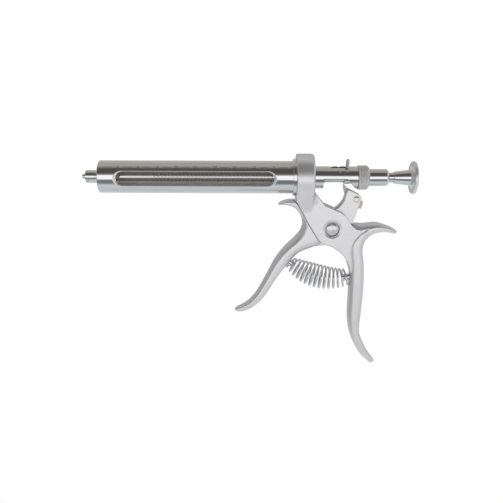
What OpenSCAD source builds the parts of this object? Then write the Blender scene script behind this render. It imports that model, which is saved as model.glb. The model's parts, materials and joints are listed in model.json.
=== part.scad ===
// Repeating syringe with pistol-grip handles, in millimetres.
// X runs along the barrel from the needle end to the thumb knob, Z is up and Y is across.
// The origin is on the barrel's axis, at the front face that the needle hub seats on.

/* [Dosing] */
// Bore of the glass cylinder
bore_d = 20; // [16:0.5:20]
// Volume drawn by one tooth of the rod, in ml
ml_per_tooth = 1; // [0.8:0.1:1]
// Number of teeth in a full cylinder
full_teeth = 50; // [40:1:50]
// Number of teeth cut on the rod
cut_teeth = 45; // [30:1:45]

/* [Barrel] */
// Outside diameter of the casing
casing_d = 27; // [26.8:0.1:27.2]
// Wall of the casing
casing_wall = 2.05; // [1.8:0.05:2.1]
// Front wall of the casing
nose_wall = 2.4; // [2:0.1:2.6]
// Half width of the window at the inner wall
window_half = 5.75; // [5:0.05:6.2]
// Extra half width of the window at the outer surface
window_bevel = 2.3; // [1:0.1:2.5]
// Front end of the window at the outer surface
window_x0 = 13; // [10:0.5:16]
// Rear end of the window at the outer surface
window_x1 = 147.4; // [140:0.5:150]
// Front face of the clamp ring
ring_x0 = 163.5; // [163.2:0.1:165]
// Width of the clamp ring
ring_w = 14.9; // [14.5:0.1:15.2]
// Outside diameter of the clamp ring
ring_d = 39; // [37:0.5:40]
// Outside diameter of the lock ring
lock_ring_d = 30.6; // [30:0.1:32]

/* [Needle end] */
// Outside diameter of the needle hub
hub_d = 10.7; // [10:0.1:11.5]
// Length of the needle hub
hub_l = 11.5; // [10:0.5:13]
// Diameter of the nozzle at its tip
nozzle_d = 3.92; // [3.9:0.01:4]
// Length of the nozzle beyond the hub
nozzle_out = 2.9; // [1:0.1:4]

/* [Rod and knob] */
// Diameter of the smooth rod
shank_d = 8.2; // [8:0.1:8.3]
// Diameter over the teeth
tooth_d = 9.1; // [9:0.05:9.15]
// Front end of the knob
knob_x0 = 244.7; // [243:0.1:248]
// Rear face of the knob
knob_x1 = 262.9; // [261:0.1:268]
// Diameter of the knob's disc
knob_d = 27; // [24:0.5:32]

/* [Dose setting] */
// Outside diameter of the guide tube
tube_d = 18.5; // [18.3:0.1:19]
// Outside diameter of the dose sleeve
sleeve_d = 14.1; // [14:0.05:14.1]
// Front end of the dose sleeve
sleeve_x0 = 203.5; // [203:0.1:204]
// Rear end of the dose sleeve
sleeve_x1 = 240.6; // [239:0.1:242]
// Place of the dose pin when the largest dose is set
pin_x = 205.6; // [205.4:0.1:206]
// Angle of the lengthwise slot above the horizontal
slot_deg = 73; // [65:1:80]
// Turn of the collar from the slot to the end of a notch
notch_turn = 35; // [30:1:40]
// Diameter of the knurled collar
collar_d = 20.1; // [19.8:0.1:21]
// Front face of the knurled collar
collar_x0 = 214.6; // [214.6:0.1:215]
// Length of the knurled collar
collar_l = 9.5; // [9.5:0.5:11.5]

/* [Handles] */
// Place of the pivot along the barrel
pivot_x = 194.5; // [194:0.1:195]
// Depth of the pivot below the barrel's axis
pivot_drop = 42.8; // [42.6:0.1:43]
// Thickness over the two cheeks
fork_w = 16.6; // [16:0.1:17]
// Width of the gap between the cheeks
fork_gap = 8.6; // [8.4:0.1:8.8]
// Radius of the cheeks round the pivot
cheek_r = 14.7; // [14.5:0.1:14.9]

/* [Handle spring] */
// Number of coils
coils = 14; // [8:1:16]
// Wire diameter
wire_d = 1.6; // [1:0.1:1.8]
// Outside diameter at the ends
spring_end_d = 10.8; // [10:0.1:12]
// Outside diameter in the middle
spring_mid_d = 21; // [14:0.5:22]
// Radius of the spring's bent axis
spring_bend_r = 62; // [55:1:80]

/* [Hidden] */
$fn = 48;

gap = 0.05; // clearance between parts that only touch
fit = 0.02; // clearance on the radius of a fixed fit
big = 60; // reach of a cutter beyond the part it cuts

pitch = ml_per_tooth * 1000 / (PI * pow(bore_d / 2, 2));
stroke = full_teeth * pitch;

// Barrel and what it holds, from the needle end
casing_r = casing_d / 2;
casing_in_r = casing_r - casing_wall;
bore_r = bore_d / 2;
glass_r = casing_in_r - 0.25;
seal_t = 0.8; // thickness of a gasket
glass_x0 = nose_wall + seal_t + 2 * gap;
piston_x0 = glass_x0 + gap;
piston_l = 8.8;
glass_x1 = piston_x0 + piston_l + stroke + 0.1;
flange_x0 = glass_x1 + seal_t + 2 * gap;
flange_l = 3.3;
ring_x1 = ring_x0 + ring_w;
ring_floor_x = flange_x0 + flange_l + gap;
window_end_x0 = window_x0 + window_half + window_bevel;
window_end_x1 = window_x1 - window_half - window_bevel;

// Needle hub
hub_r = hub_d / 2;
liquid_r = 0.8;
nozzle_taper = 0.03; // loss of radius per length of a 6 % cone
hub_spigot_r = 4.9;
collar_well_r = 3.95;
collar_well_l = 7.5;

// Rod
shank_r = shank_d / 2;
tooth_r = tooth_d / 2;
teeth_x0 = 45;
teeth_x1 = teeth_x0 + cut_teeth * pitch;
spigot_r = 2.5;
knob_spigot_r = 3;
knob_spigot_x1 = knob_x0 + 11.3;
knob_screw_r = 1.5;
knob_head_r = 3.4;
knob_head_seat = 1.6; // depth of the seat of the knob's screw

// Guide tube, sleeve and collar
tube_r = tube_d / 2;
sleeve_r = sleeve_d / 2;
slide_gap = 0.05; // running clearance on a radius
tube_bore_r = sleeve_r + slide_gap;
bush_r = 6;
bush_x1 = 184;
mill_x0 = 186;
tube_x1 = 214.5;
tube_spigot_r = 8.3;
tube_spigot_x1 = 220;
sleeve_bore_r = tooth_r + 0.15;
nose_r = 5.3;
nose_x1 = sleeve_x0 + 16;
pin_r = 1.5;
pin_reach = 16.1;
dose_step = 2 * pitch; // between the marked settings 1, 3 and 5
clip_x = 218.45;
clip_t = 0.7;
key_w = 1.2;

// Handles
fork_h = fork_w / 2;
gap_h = fork_gap / 2;
pivot_z = -pivot_drop;
plate_h = gap_h - 0.3; // half thickness of the lever between the cheeks
lever_gap = 0.25; // between the lever's shoulder and the cheeks
hub_plate_r = 15;
slot_r = 16.4;
bush_out_r = 5;
screw_r = 3;
screw_head_r = 5.7;
screw_seat = 5.6; // depth of the screw's seat from the middle plane
pawl_x = 214.3;
pawl_z = -17.9;
pawl_h = 1.5;
rivet_r = 1.5;
arc_steps = 10;
spring_front = [160.4, -74.2]; // X and Z of the spring's end at the trigger lever
spring_rear = [209.3, -86.8]; // and at the fixed handle
spring_chord = spring_rear - spring_front;
spring_rise = sqrt(pow(spring_bend_r, 2) - pow(norm(spring_chord) / 2, 2));
spring_centre = (spring_front + spring_rear) / 2
    + spring_rise / norm(spring_chord) * [-spring_chord[1], spring_chord[0]];
spring_half_deg = asin(norm(spring_chord) / 2 / spring_bend_r);
spring_mid_deg = 270 + atan2(spring_chord[1], spring_chord[0]);
shoulder_deg = 238; // end of the lever's shoulder round the pivot

// Curves -----------------------------------------------------------------

// Point on a smooth curve through b and c, with a and d as neighbours
function between(a, b, c, d, t) =
    0.5 * (2 * b + (c - a) * t + (2 * a - 5 * b + 4 * c - d) * t * t
           + (3 * b - a - 3 * c + d) * t * t * t);

// Smooth curve through a list of points, with n steps between neighbours
function smooth(p, n) = [
    for (i = [0 : len(p) - 2], k = [0 : n - 1])
        between(p[max(i - 1, 0)], p[i], p[i + 1], p[min(i + 2, len(p) - 1)], k / n),
    p[len(p) - 1]
];

// Points of an arc about the pivot
function pivot_arc(r, a0, a1, n) = [
    for (i = [0 : n]) let (a = a0 + (a1 - a0) * i / n)
        [pivot_x + r * cos(a), pivot_z + r * sin(a)]
];

// Closed ring of points round a rib; a rib is [outer x, outer z, inner x, inner z, half width]
function rib_ring(rib, sides, power) = let (
    c = [rib[0] + rib[2], rib[1] + rib[3]] / 2,
    u = [rib[2] - rib[0], rib[3] - rib[1]] / 2
) [
    for (k = [0 : sides - 1]) let (
        a = 360 * k / sides,
        s = sign(cos(a)) * pow(abs(cos(a)), 2 / power),
        w = sign(sin(a)) * pow(abs(sin(a)), 2 / power)
    ) [c.x + u.x * s, rib[4] * w, c.y + u.y * s]
];

// Building blocks --------------------------------------------------------

module rod_x(r, x0, x1) {
    translate([x0, 0, 0]) rotate([0, 90, 0]) cylinder(r = r, h = x1 - x0);
}

// Solid turned about the X axis from [x, radius] points
module turned_x(profile) {
    rotate([0, 90, 0]) rotate_extrude() polygon([for (p = profile) [p[1], p[0]]]);
}

module tube_x(r_out, r_in, x0, x1) {
    difference() {
        rod_x(r_out, x0, x1);
        rod_x(r_in, x0 - 1, x1 + 1);
    }
}

// Cylinder along Y
module rod_y(x, z, r, y0, y1) {
    translate([x, y1, z]) rotate([90, 0, 0]) cylinder(r = r, h = y1 - y0);
}

// Plate in the XZ plane between two Y values
module plate(points, y0, y1) {
    translate([0, y1, 0]) rotate([90, 0, 0]) linear_extrude(y1 - y0) polygon(points);
}

// Body with rounded sides that runs through a list of ribs
module grip(ribs, steps, sides, power) {
    all = smooth(ribs, steps);
    n = len(all);
    points = [for (rib = all) each rib_ring(rib, sides, power)];
    walls = [
        for (i = [0 : n - 2], k = [0 : sides - 1]) let (m = (k + 1) % sides)
            each [[i * sides + k, (i + 1) * sides + k, (i + 1) * sides + m],
                  [i * sides + k, (i + 1) * sides + m, i * sides + m]]
    ];
    first = [for (k = [0 : sides - 1]) k];
    last = [for (k = [sides - 1 : -1 : 0]) (n - 1) * sides + k];
    polyhedron(points = points, faces = concat([first], walls, [last]));
}

// Radial pin-shaped solid at an angle above the horizontal on the -Y side
module radial(x, deg, r, from, to) {
    translate([x, 0, 0]) rotate([90 - deg, 0, 0]) translate([0, 0, from])
        cylinder(r = r, h = to - from);
}

// Fixed handle -----------------------------------------------------------

// Front edge of the cheeks, drawn back by g
function cheek_front(g) = concat(
    [[ring_x0 - g, -12], [ring_x0 + 0.4 - g, -18.5], [166.1 - g, -22.9 - g / 2],
     [174.1 - g, -37.8 - g / 2]],
    pivot_arc(cheek_r + g, 207, shoulder_deg, arc_steps)
);

cheek_lower = concat(
    cheek_front(0),
    pivot_arc(cheek_r, shoulder_deg + 3, 262, 4),
    smooth([[195.5, -58.5], [203.4, -64.5], [207.1, -69.4], [209.7, -74.3], [211.3, -80.5]], 3)
);
cheek_upper = smooth([[224.4, -43.2], [219.5, -43.6], [214.6, -42.3], [209.9, -37.9],
                      [207.2, -33.4], [203.4, -29.4], [197.3, -26.5], [189.8, -23.1],
                      [187.2, -21.6], [178.4, -10.6]], 3);

// Flat face of a cheek, up to where the palm grip begins
cheek_outline = concat(
    cheek_lower,
    smooth([[212.2, -74.3], [210.9, -66.3], [211.5, -59.4], [213.6, -53.3], [218.1, -47.3]], 3),
    cheek_upper
);

// Core that joins the cheeks to the palm grip
cheek_core = concat(cheek_lower, [[217, -84], [218, -60], [223, -50]], cheek_upper);

palm_ribs = [
    [233.4, -166.7, 236.9, -165.0, 3.2], [231.4, -164.8, 235.9, -162.5, 4.8],
    [224.4, -158.1, 230.6, -155.6, 6.6], [217.4, -146.5, 225.2, -145.0, 7.4],
    [213.2, -135.1, 222.3, -135.2, 7.9], [211.2, -121.0, 222.9, -120.6, 8.3],
    [211.3, -104.0, 223.9, -103.6, 8.5], [211.3, -88.0, 224.1, -88.0, 8.6],
    [211.0, -75.0, 223.4, -74.0, 8.6], [209.8, -64.0, 221.9, -62.5, 8.6],
    [209.5, -52.0, 223.6, -54.6, 8.6], [212.2, -39.6, 226.8, -50.6, 8.5],
    [221.0, -38.9, 231.0, -47.9, 8.1], [231.3, -37.9, 236.2, -46.5, 7.3],
    [240.1, -40.0, 242.4, -46.5, 6.0], [247.2, -43.3, 247.3, -47.6, 4.4],
    [250.6, -45.6, 249.9, -47.2, 2.6]
];

// Room for the lever between the cheeks, with its swing
fork_slot = [
    [150, -24.2], [185.5, -24.2], [185.5, -8], [226, -8], [226, -37], [212.7, -37],
    [211.5, pivot_z], [pivot_x, pivot_z], [pivot_x, -75], [150, -75]
];

module fixed_handle() {
    color("gainsboro") difference() {
        union() {
            rod_x(ring_d / 2, ring_x0, ring_x1);
            plate(cheek_outline, -fork_h, fork_h);
            plate(cheek_core, -fork_h + 1.5, fork_h - 1.5);
            grip(palm_ribs, 2, 20, 2.8);
        }
        rod_x(casing_r + gap, ring_x0 - 1, ring_floor_x);
        rod_x(tube_r + gap, ring_floor_x - 1, ring_x1 + 30);
        plate(fork_slot, -gap_h, gap_h);
        rod_y(pivot_x, pivot_z, slot_r, -gap_h, gap_h);
        rod_y(pivot_x, pivot_z, screw_r + fit, -fork_h - 1, fork_h + 1);
        for (side = [0, 1]) mirror([0, side, 0]) screw_seat_cut();
    }
}

// Recess of the pivot screw in the near cheek
module screw_seat_cut() {
    rod_y(pivot_x, pivot_z, screw_head_r + 0.1, -fork_h - 1, -screw_seat);
    translate([pivot_x, -fork_h + 0.9, pivot_z]) rotate([90, 0, 0])
        cylinder(r1 = screw_head_r + 0.1, r2 = screw_head_r + 3, h = 1.4);
}

// Barrel -----------------------------------------------------------------

// Straight slot through the wall with a bevel that is cut deepest at the ends
module window_cut() {
    depth = casing_wall + 1;
    w1 = window_half + window_bevel * depth / casing_wall;
    inner_y = casing_in_r - 3;
    for (x = [window_end_x0, window_end_x1]) {
        rod_y(x, 0, window_half, -casing_in_r - 0.1, -inner_y);
        translate([x, -casing_in_r, 0]) rotate([90, 0, 0])
            cylinder(r1 = window_half, r2 = w1, h = depth);
    }
    translate([window_end_x0, 0, 0]) rotate([90, 0, 90])
        linear_extrude(window_end_x1 - window_end_x0)
            polygon([[-inner_y, -window_half], [-casing_in_r, -window_half],
                     [-casing_in_r - depth, -w1], [-casing_in_r - depth, w1],
                     [-casing_in_r, window_half], [-inner_y, window_half]]);
}

module barrel_casing() {
    edge = 0.7;
    end_x = flange_x0 - gap;
    color("silver") difference() {
        turned_x([[0, 0], [0, casing_r - edge], [edge * 0.3, casing_r - edge * 0.3],
                  [edge, casing_r], [end_x, casing_r], [end_x, 0]]);
        rod_x(casing_in_r, nose_wall, end_x + 1);
        rod_x(hub_spigot_r + gap, -1, nose_wall + 1);
        window_cut();
    }
}

module glass_cylinder() {
    color("lightcyan", 0.4) tube_x(glass_r, bore_r, glass_x0, glass_x1);
}

module front_seal() {
    color("dimgray") tube_x(glass_r, 2, nose_wall + gap, nose_wall + gap + seal_t);
}

module rear_seal() {
    color("dimgray") tube_x(glass_r, 8, glass_x1 + gap, glass_x1 + gap + seal_t);
}

module barrel_lock_ring() {
    r = lock_ring_d / 2;
    x1 = ring_x0 - gap;
    color("silver") difference() {
        turned_x([[x1 - 2.7, 0], [x1 - 2.7, r - 0.5], [x1 - 2.2, r], [x1, r], [x1, 0]]);
        rod_x(casing_r + fit, x1 - 4, x1 + 1);
    }
}

module luer_hub() {
    tip_x = -hub_l - nozzle_out;
    well_x = -hub_l + collar_well_l;
    base_r = nozzle_d / 2 + nozzle_taper * (well_x - tip_x);
    color("silver") difference() {
        union() {
            turned_x([[-hub_l, collar_well_r], [-hub_l, hub_r - 1], [-hub_l + 1, hub_r],
                      [-gap, hub_r], [-gap, hub_spigot_r], [nose_wall - gap, hub_spigot_r],
                      [nose_wall - gap, 0], [well_x, 0], [well_x, collar_well_r]]);
            turned_x([[tip_x, 0], [tip_x, nozzle_d / 2], [well_x, base_r], [well_x + 1, base_r],
                      [well_x + 1, 0]]);
        }
        rod_x(liquid_r, tip_x - 1, nose_wall + 1);
        // bayonet notch for the needle's lug
        for (deg = [-38, 142]) rotate([-deg, 0, 0]) {
            translate([-hub_l - 1, -hub_r - 1, -0.8]) cube([4.2, 1.9, 1.6]);
            translate([-hub_l + 1.5, -hub_r - 1, -0.8]) cube([1.7, 1.9, 2.8]);
        }
    }
}

// Rod and piston ---------------------------------------------------------

module toothed_rod() {
    teeth = [
        for (i = [0 : cut_teeth - 1]) let (x = teeth_x0 + i * pitch)
            each [[x, shank_r - 0.35], [x + pitch * 0.62, tooth_r], [x + pitch * 0.86, tooth_r]]
    ];
    profile = concat(
        [[piston_x0 + 1, 0], [piston_x0 + 1, spigot_r], [piston_x0 + piston_l, spigot_r],
         [piston_x0 + piston_l, shank_r - 0.4], [piston_x0 + piston_l + 0.4, shank_r],
         [teeth_x0, shank_r]],
        teeth,
        [[teeth_x1, shank_r - 0.35], [teeth_x1, shank_r], [knob_x0, shank_r],
         [knob_x0, knob_spigot_r], [knob_spigot_x1, knob_spigot_r], [knob_spigot_x1, 0]]
    );
    color("silver") difference() {
        turned_x(profile);
        rod_x(knob_screw_r + fit, knob_spigot_x1 - 6, knob_spigot_x1 + 1);
    }
}

module piston_cap() {
    r = bore_r - 0.3;
    x1 = piston_x0 + 1.8;
    color("silver") difference() {
        turned_x([[piston_x0, 0], [piston_x0, r - 0.4], [piston_x0 + 0.4, r], [x1, r], [x1, 0]]);
        rod_x(spigot_r + fit, piston_x0 + 1 - gap, x1 + 1);
    }
}

module piston_seal() {
    x0 = piston_x0 + 1.8 + gap;
    r = bore_r - 0.04;
    color("dimgray") difference() {
        turned_x([[x0, 0], [x0, r - 0.3], [x0 + 0.4, r], [x0 + 1, r], [x0 + 1.3, r - 0.5],
                  [x0 + 1.6, r - 0.5], [x0 + 1.9, r], [x0 + 2.5, r], [x0 + 2.9, r - 0.3],
                  [x0 + 2.9, 0]]);
        rod_x(spigot_r + fit, x0 - 1, x0 + 4);
    }
}

module piston_body() {
    x0 = piston_x0 + 1.8 + 2.9 + 2 * gap;
    x1 = piston_x0 + piston_l - gap;
    r = bore_r - 0.2;
    color("silver") difference() {
        turned_x([[x0, 0], [x0, r], [x1 - 0.5, r], [x1, r - 0.5], [x1, 0]]);
        rod_x(spigot_r + fit, x0 - 1, x1 + 1);
        rod_x(4.6, x1 - 2.1, x1 + 1);
    }
}

module piston_nut() {
    x1 = piston_x0 + piston_l - gap;
    color("silver") translate([x1 - 2, 0, 0]) difference() {
        rotate([0, 90, 0]) cylinder(r = 4.5, h = 2, $fn = 6);
        rod_x(spigot_r + fit, -1, 3);
    }
}

module thumb_knob() {
    disc_x0 = knob_x1 - 3;
    r = knob_d / 2;
    color("silver") difference() {
        turned_x([[knob_x0, 0], [knob_x0, 4.6], [knob_x0 + 0.3, 4.9], [disc_x0 - 2, 6.6],
                  [disc_x0 - 0.8, 7.3], [disc_x0, 8.8], [disc_x0, r - 0.9], [disc_x0 + 0.3, r - 0.3],
                  [disc_x0 + 0.9, r], [knob_x1 - 0.9, r], [knob_x1 - 0.3, r - 0.3],
                  [knob_x1, r - 0.9], [knob_x1, 0]]);
        rod_x(knob_spigot_r + fit, knob_x0 - 1, knob_spigot_x1 + gap);
        rod_x(knob_screw_r + gap, knob_x0, knob_x1);
        rod_x(knob_head_r + 0.1, knob_x1 - knob_head_seat, knob_x1 + 1);
    }
}

module knob_screw() {
    head_x0 = knob_x1 - knob_head_seat + gap;
    color("silver") difference() {
        union() {
            rod_x(knob_head_r, head_x0, knob_x1 - 0.1);
            rod_x(knob_screw_r - fit, knob_spigot_x1 - 5, head_x0 + 0.5);
        }
        translate([knob_x1 - 0.8, -big / 2, -0.4]) cube([2, big, 0.8]);
    }
}

// Guide tube and dose setting --------------------------------------------

// Slot for the dose pin: lengthwise, with a notch at each marked setting
module dose_slot() {
    w = pin_r + slide_gap;
    run = w - fit; // half width between the round ends
    x_end = pin_x - 2 * dose_step;
    for (x = [pin_x, x_end]) radial(x, slot_deg, w, 6, tube_r + 1);
    rotate([90 - slot_deg, 0, 0]) translate([x_end, -run, 6])
        cube([pin_x - x_end, 2 * run, 4]);
    for (i = [0 : 2]) translate([pin_x - i * dose_step, 0, 0]) {
        radial(0, slot_deg + notch_turn, w, 6, tube_r + 1);
        rotate([0, 90, 0]) rotate([0, 0, 270 - slot_deg - notch_turn])
            rotate_extrude(angle = notch_turn) translate([6, -run])
                square([tube_r - 5, 2 * run]);
    }
}

module guide_tube() {
    color("silver") difference() {
        turned_x([[flange_x0, 0], [flange_x0, casing_r - 0.1], [flange_x0 + flange_l, casing_r - 0.1],
                  [flange_x0 + flange_l, tube_r], [tube_x1, tube_r], [tube_x1, tube_spigot_r],
                  [tube_spigot_x1, tube_spigot_r], [tube_spigot_x1, 0]]);
        rod_x(bush_r, flange_x0 - 1, mill_x0 + 0.5);
        rod_x(tube_bore_r, mill_x0, tube_spigot_x1 + 1);
        plate([[mill_x0, 0], [205.5, 0], [tube_x1 - 0.6, -tube_r - 0.1], [tube_x1 - 0.6, -12],
               [mill_x0, -12]], -12, 12);
        dose_slot();
        difference() {
            rod_x(tube_spigot_r + 1, clip_x - gap, clip_x + clip_t + gap);
            rod_x(tube_spigot_r - 0.5, clip_x - 1, clip_x + 2);
        }
    }
}

module rod_guide_bush() {
    color("goldenrod") tube_x(bush_r - fit, tooth_r + 0.07, flange_x0 + 1, bush_x1);
}

module collar_clip() {
    color("dimgray") difference() {
        tube_x(8.8, tube_spigot_r - 0.45, clip_x, clip_x + clip_t);
        translate([clip_x - 1, 0, -2]) cube([3, big, 4]);
    }
}

module knurled_collar() {
    x1 = collar_x0 + collar_l;
    r = collar_d / 2;
    color("gray") union() {
        difference() {
            turned_x([[collar_x0, 0], [collar_x0, r - 0.4], [collar_x0 + 0.4, r],
                      [x1 - 2, r], [x1, r - 1.8], [x1, 0]]);
            rod_x(tube_spigot_r + slide_gap, collar_x0 - 1, clip_x - 0.25);
            rod_x(9, clip_x - 0.3, tube_spigot_x1 + 0.4);
            rod_x(sleeve_r + slide_gap, collar_x0, x1 + 1);
        }
        // key that turns the sleeve and lets it slide
        translate([tube_spigot_x1 + 1.2, sleeve_r - 0.6, -key_w / 2]) cube([2.6, 1.2, key_w]);
    }
}

module dose_sleeve() {
    turn_room = 60;
    color("silver") difference() {
        turned_x([[sleeve_x0, 0], [sleeve_x0, nose_r], [sleeve_x0 + 0.3, sleeve_r - 0.9],
                  [sleeve_x0 + 0.7, sleeve_r], [sleeve_x1 - 2.2, sleeve_r],
                  [sleeve_x1 - 1.1, sleeve_r - 0.3], [sleeve_x1 - 0.3, sleeve_r - 1.1],
                  [sleeve_x1, sleeve_r - 2.1], [sleeve_x1, 0]]);
        rod_x(sleeve_bore_r, sleeve_x0 - 1, sleeve_x1 + 1);
        // shield for the pawl: thin underside over the front of the sleeve
        translate([sleeve_x0 - 1, 0, 0]) rotate([0, 90, 0]) rotate([0, 0, -turn_room])
            rotate_extrude(angle = 2 * turn_room) translate([nose_r, 0])
                square([sleeve_r - nose_r + 1, nose_x1 - sleeve_x0 + 1]);
        // keyway
        translate([tube_spigot_x1 + 0.8, sleeve_r - 0.85, -key_w / 2 - slide_gap])
            cube([17.4, 2, key_w + 2 * slide_gap]);
        radial(pin_x, slot_deg, pin_r + fit, 3, sleeve_r + 2);
    }
}

module dose_pin() {
    color("silver") translate([pin_x, 0, 0]) rotate([90 - slot_deg, 0, 0]) rotate_extrude()
        polygon([[0, sleeve_bore_r + 0.2], [pin_r, sleeve_bore_r + 0.2], [pin_r, pin_reach - 0.5],
                 [pin_r - 0.5, pin_reach], [0, pin_reach]]);
}

// Trigger lever and pawl -------------------------------------------------

finger_ribs = [
    [112.0, -116.2, 113.6, -118.1, 2.6], [114.4, -114.1, 116.6, -118.4, 4.2],
    [119.5, -111.5, 122.4, -117.0, 5.6], [125.2, -107.2, 129.6, -113.0, 6.3],
    [131.5, -99.3, 138.0, -104.3, 6.8], [139.6, -84.1, 148.0, -88.4, 7.2],
    [146.6, -70.3, 157.3, -75.6, 7.7], [154.7, -59.4, 167.6, -64.3, 8.1],
    [162.5, -51.6, 184.0, -57.6, 8.3], [167.1, -46.2, 187.0, -52.0, 8.3],
    [169.6, -40.3, 186.0, -43.0, 8.3], [168.9, -34.2, 182.0, -33.0, 8.3],
    [165.4, -28.3, 173.0, -20.4, 8.2], [161.4, -25.0, 164.8, -18.4, 8.0],
    [156.0, -23.4, 157.0, -18.6, 7.1], [151.5, -23.3, 152.3, -20.0, 5.4],
    [148.9, -22.9, 149.3, -21.9, 3.2]
];

// What the cheeks leave to the lever's shoulder
shoulder_cut = concat(
    cheek_front(lever_gap),
    [[pivot_x + 40 * cos(shoulder_deg), pivot_z + 40 * sin(shoulder_deg)], [240, -80], [240, -12]]
);

lever_plate = concat(
    [[168, -27.6], [178, -28], [188, -27.6]],
    smooth([[192.5, -26.9], [196.5, -25.4], [201.5, -20.8], [203.7, -16.9], [204.6, -13.4],
            [206.4, -9.0]], 3),
    smooth([[206.6, -8.8], [213.0, -12.0], [216.8, -14.0], [218.7, -16.8], [218.4, -18.8],
            [216.1, -25.9], [211.9, -37.9]], 3),
    pivot_arc(hub_plate_r, 10, -107, 14),
    [[187.9, -57.7], [184, -58.0], [176, -59.5], [168, -60], [166, -52], [170, -40]]
);

// Slot for the pawl, open at the top and at both sides
pawl_slot = [
    [198, -3], [226, -3], [226, -28.5], [214, -28.5], [209.5, -25], [204.5, -19.6], [198, -19.6]
];

module trigger_lever() {
    color("gainsboro") difference() {
        union() {
            difference() {
                grip(finger_ribs, 2, 20, 3);
                plate(shoulder_cut, -fork_h - 2, -plate_h);
                plate(shoulder_cut, plate_h, fork_h + 2);
                plate([[ring_x0 - lever_gap, -12], [ring_x0 - lever_gap, -ring_d / 2 - lever_gap],
                       [166.1 - lever_gap, -22.9], [167, -24.8], [240, -24.8], [240, -12]],
                      -fork_h, fork_h);
            }
            plate(lever_plate, -plate_h, plate_h);
        }
        rod_y(pivot_x, pivot_z, bush_out_r + slide_gap, -big, big);
        plate(pawl_slot, -pawl_h - 0.1, pawl_h + 0.1);
        rod_y(pawl_x, pawl_z, rivet_r + fit, -big, big);
    }
}

pawl_outline = concat(
    [[203.1, -5.35], [203.9, -5.6], [206.3, -8.2], [209.5, -11.6]],
    [for (i = [0 : 8]) let (a = 110 - i * 15) [pawl_x + 4 * cos(a), pawl_z + 4 * sin(a)]],
    [[220.0, -20.0], [220.1, -22.6], [218.6, -26.4], [216.9, -25.8], [216.6, -22.0],
     [213.5, -21.9], [210.2, -20.4], [206.9, -17.2], [204.5, -13.2], [203.4, -9.2]]
);

module pawl() {
    color("darkgray") difference() {
        plate(pawl_outline, -pawl_h, pawl_h);
        rod_y(pawl_x, pawl_z, rivet_r + slide_gap, -big, big);
    }
}

module pawl_rivet() {
    color("tan") union() {
        rod_y(pawl_x, pawl_z, rivet_r, -plate_h - 0.3, plate_h + 0.3);
        for (side = [0, 1]) mirror([0, side, 0]) translate([pawl_x, -plate_h - gap, pawl_z])
            rotate([90, 0, 0]) {
                cylinder(r = 2.75, h = 0.35);
                translate([0, 0, 0.35]) cylinder(r1 = 2.75, r2 = 1.7, h = 0.45);
            }
    }
}

module pawl_spring() {
    t = 0.35;
    mid = smooth([[213.9, -27.4], [210.6, -24.6], [207.5, -21.0], [206.7, -18.0]], 4);
    color("silver") plate(
        concat(mid, [for (i = [len(mid) - 1 : -1 : 0]) mid[i] + [-t, -t * 0.4]]), -1.2, 1.2);
}

// Pivot ------------------------------------------------------------------

module pivot_bush() {
    color("goldenrod") difference() {
        rod_y(pivot_x, pivot_z, bush_out_r, -gap_h + fit, gap_h - fit);
        rod_y(pivot_x, pivot_z, screw_r + fit, -big, big);
    }
}

module pivot_washers() {
    for (y = [-gap_h + 0.03, plate_h + 0.03]) color("silver") difference() {
        rod_y(pivot_x, pivot_z, 9, y, y + 0.24);
        rod_y(pivot_x, pivot_z, bush_out_r + 0.05, -big, big);
    }
}

// Domed slotted head on the -Y side of the middle plane
module slotted_head(tilt) {
    difference() {
        translate([pivot_x, -screw_seat - gap, pivot_z]) rotate([90, 0, 0])
            rotate_extrude() polygon(concat(
                [[0, 0], [screw_head_r, 0]],
                [for (i = [0 : 6]) let (a = i * 15)
                    [screw_head_r * cos(a * 0.98) , 1.5 + 1.5 * sin(a)]],
                [[0, 3]]));
        translate([pivot_x, -screw_seat - 3.6, pivot_z]) rotate([0, tilt, 0])
            cube([1.3, 2.4, big], center = true);
    }
}

module pivot_screw() {
    color("silver") union() {
        slotted_head(6);
        rod_y(pivot_x, pivot_z, screw_r, -screw_seat - 0.5, screw_seat + 0.9);
    }
}

module pivot_nut() {
    color("silver") difference() {
        mirror([0, 1, 0]) slotted_head(0);
        rod_y(pivot_x, pivot_z, screw_r + fit, 0, screw_seat + 1);
    }
}

// Handle spring ----------------------------------------------------------

// Direction from the bend's centre to the spring's axis; t runs from 0 to 1
function spring_deg(t) = spring_mid_deg + spring_half_deg * (2 * t - 1);

// Place on the spring's axis and its outward direction
function spring_frame(t) = let (a = spring_deg(t))
    [[spring_centre[0] + spring_bend_r * cos(a), 0, spring_centre[1] + spring_bend_r * sin(a)],
     [cos(a), 0, sin(a)]];

function coil_radius(t) =
    (spring_end_d + (spring_mid_d - spring_end_d) * pow(max(sin(180 * t), 0), 0.8) - wire_d) / 2;

// Centre of the wire
function wire_point(t) = let (f = spring_frame(t), a = 360 * coils * t, r = coil_radius(t))
    f[0] + r * (cos(a) * f[1] + sin(a) * [0, 1, 0]);

function unit(v) = v / norm(v);

module handle_spring() {
    per_coil = 14;
    n = coils * per_coil;
    sides = 6;
    points = [
        for (i = [0 : n]) let (
            t = i / n,
            dir = unit(wire_point(t + 0.001) - wire_point(t - 0.001)),
            out = unit(wire_point(t) - spring_frame(t)[0]),
            side = cross(dir, out)
        ) each [for (k = [0 : sides - 1]) let (b = 360 * k / sides)
            wire_point(t) + wire_d / 2 * (cos(b) * out + sin(b) * side)]
    ];
    walls = [
        for (i = [0 : n - 1], k = [0 : sides - 1]) let (m = (k + 1) % sides)
            each [[i * sides + k, (i + 1) * sides + m, (i + 1) * sides + k],
                  [i * sides + k, i * sides + m, (i + 1) * sides + m]]
    ];
    ends = [[for (k = [sides - 1 : -1 : 0]) k], [for (k = [0 : sides - 1]) n * sides + k]];
    color("silver") polyhedron(points = points, faces = concat(walls, ends));
}

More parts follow.
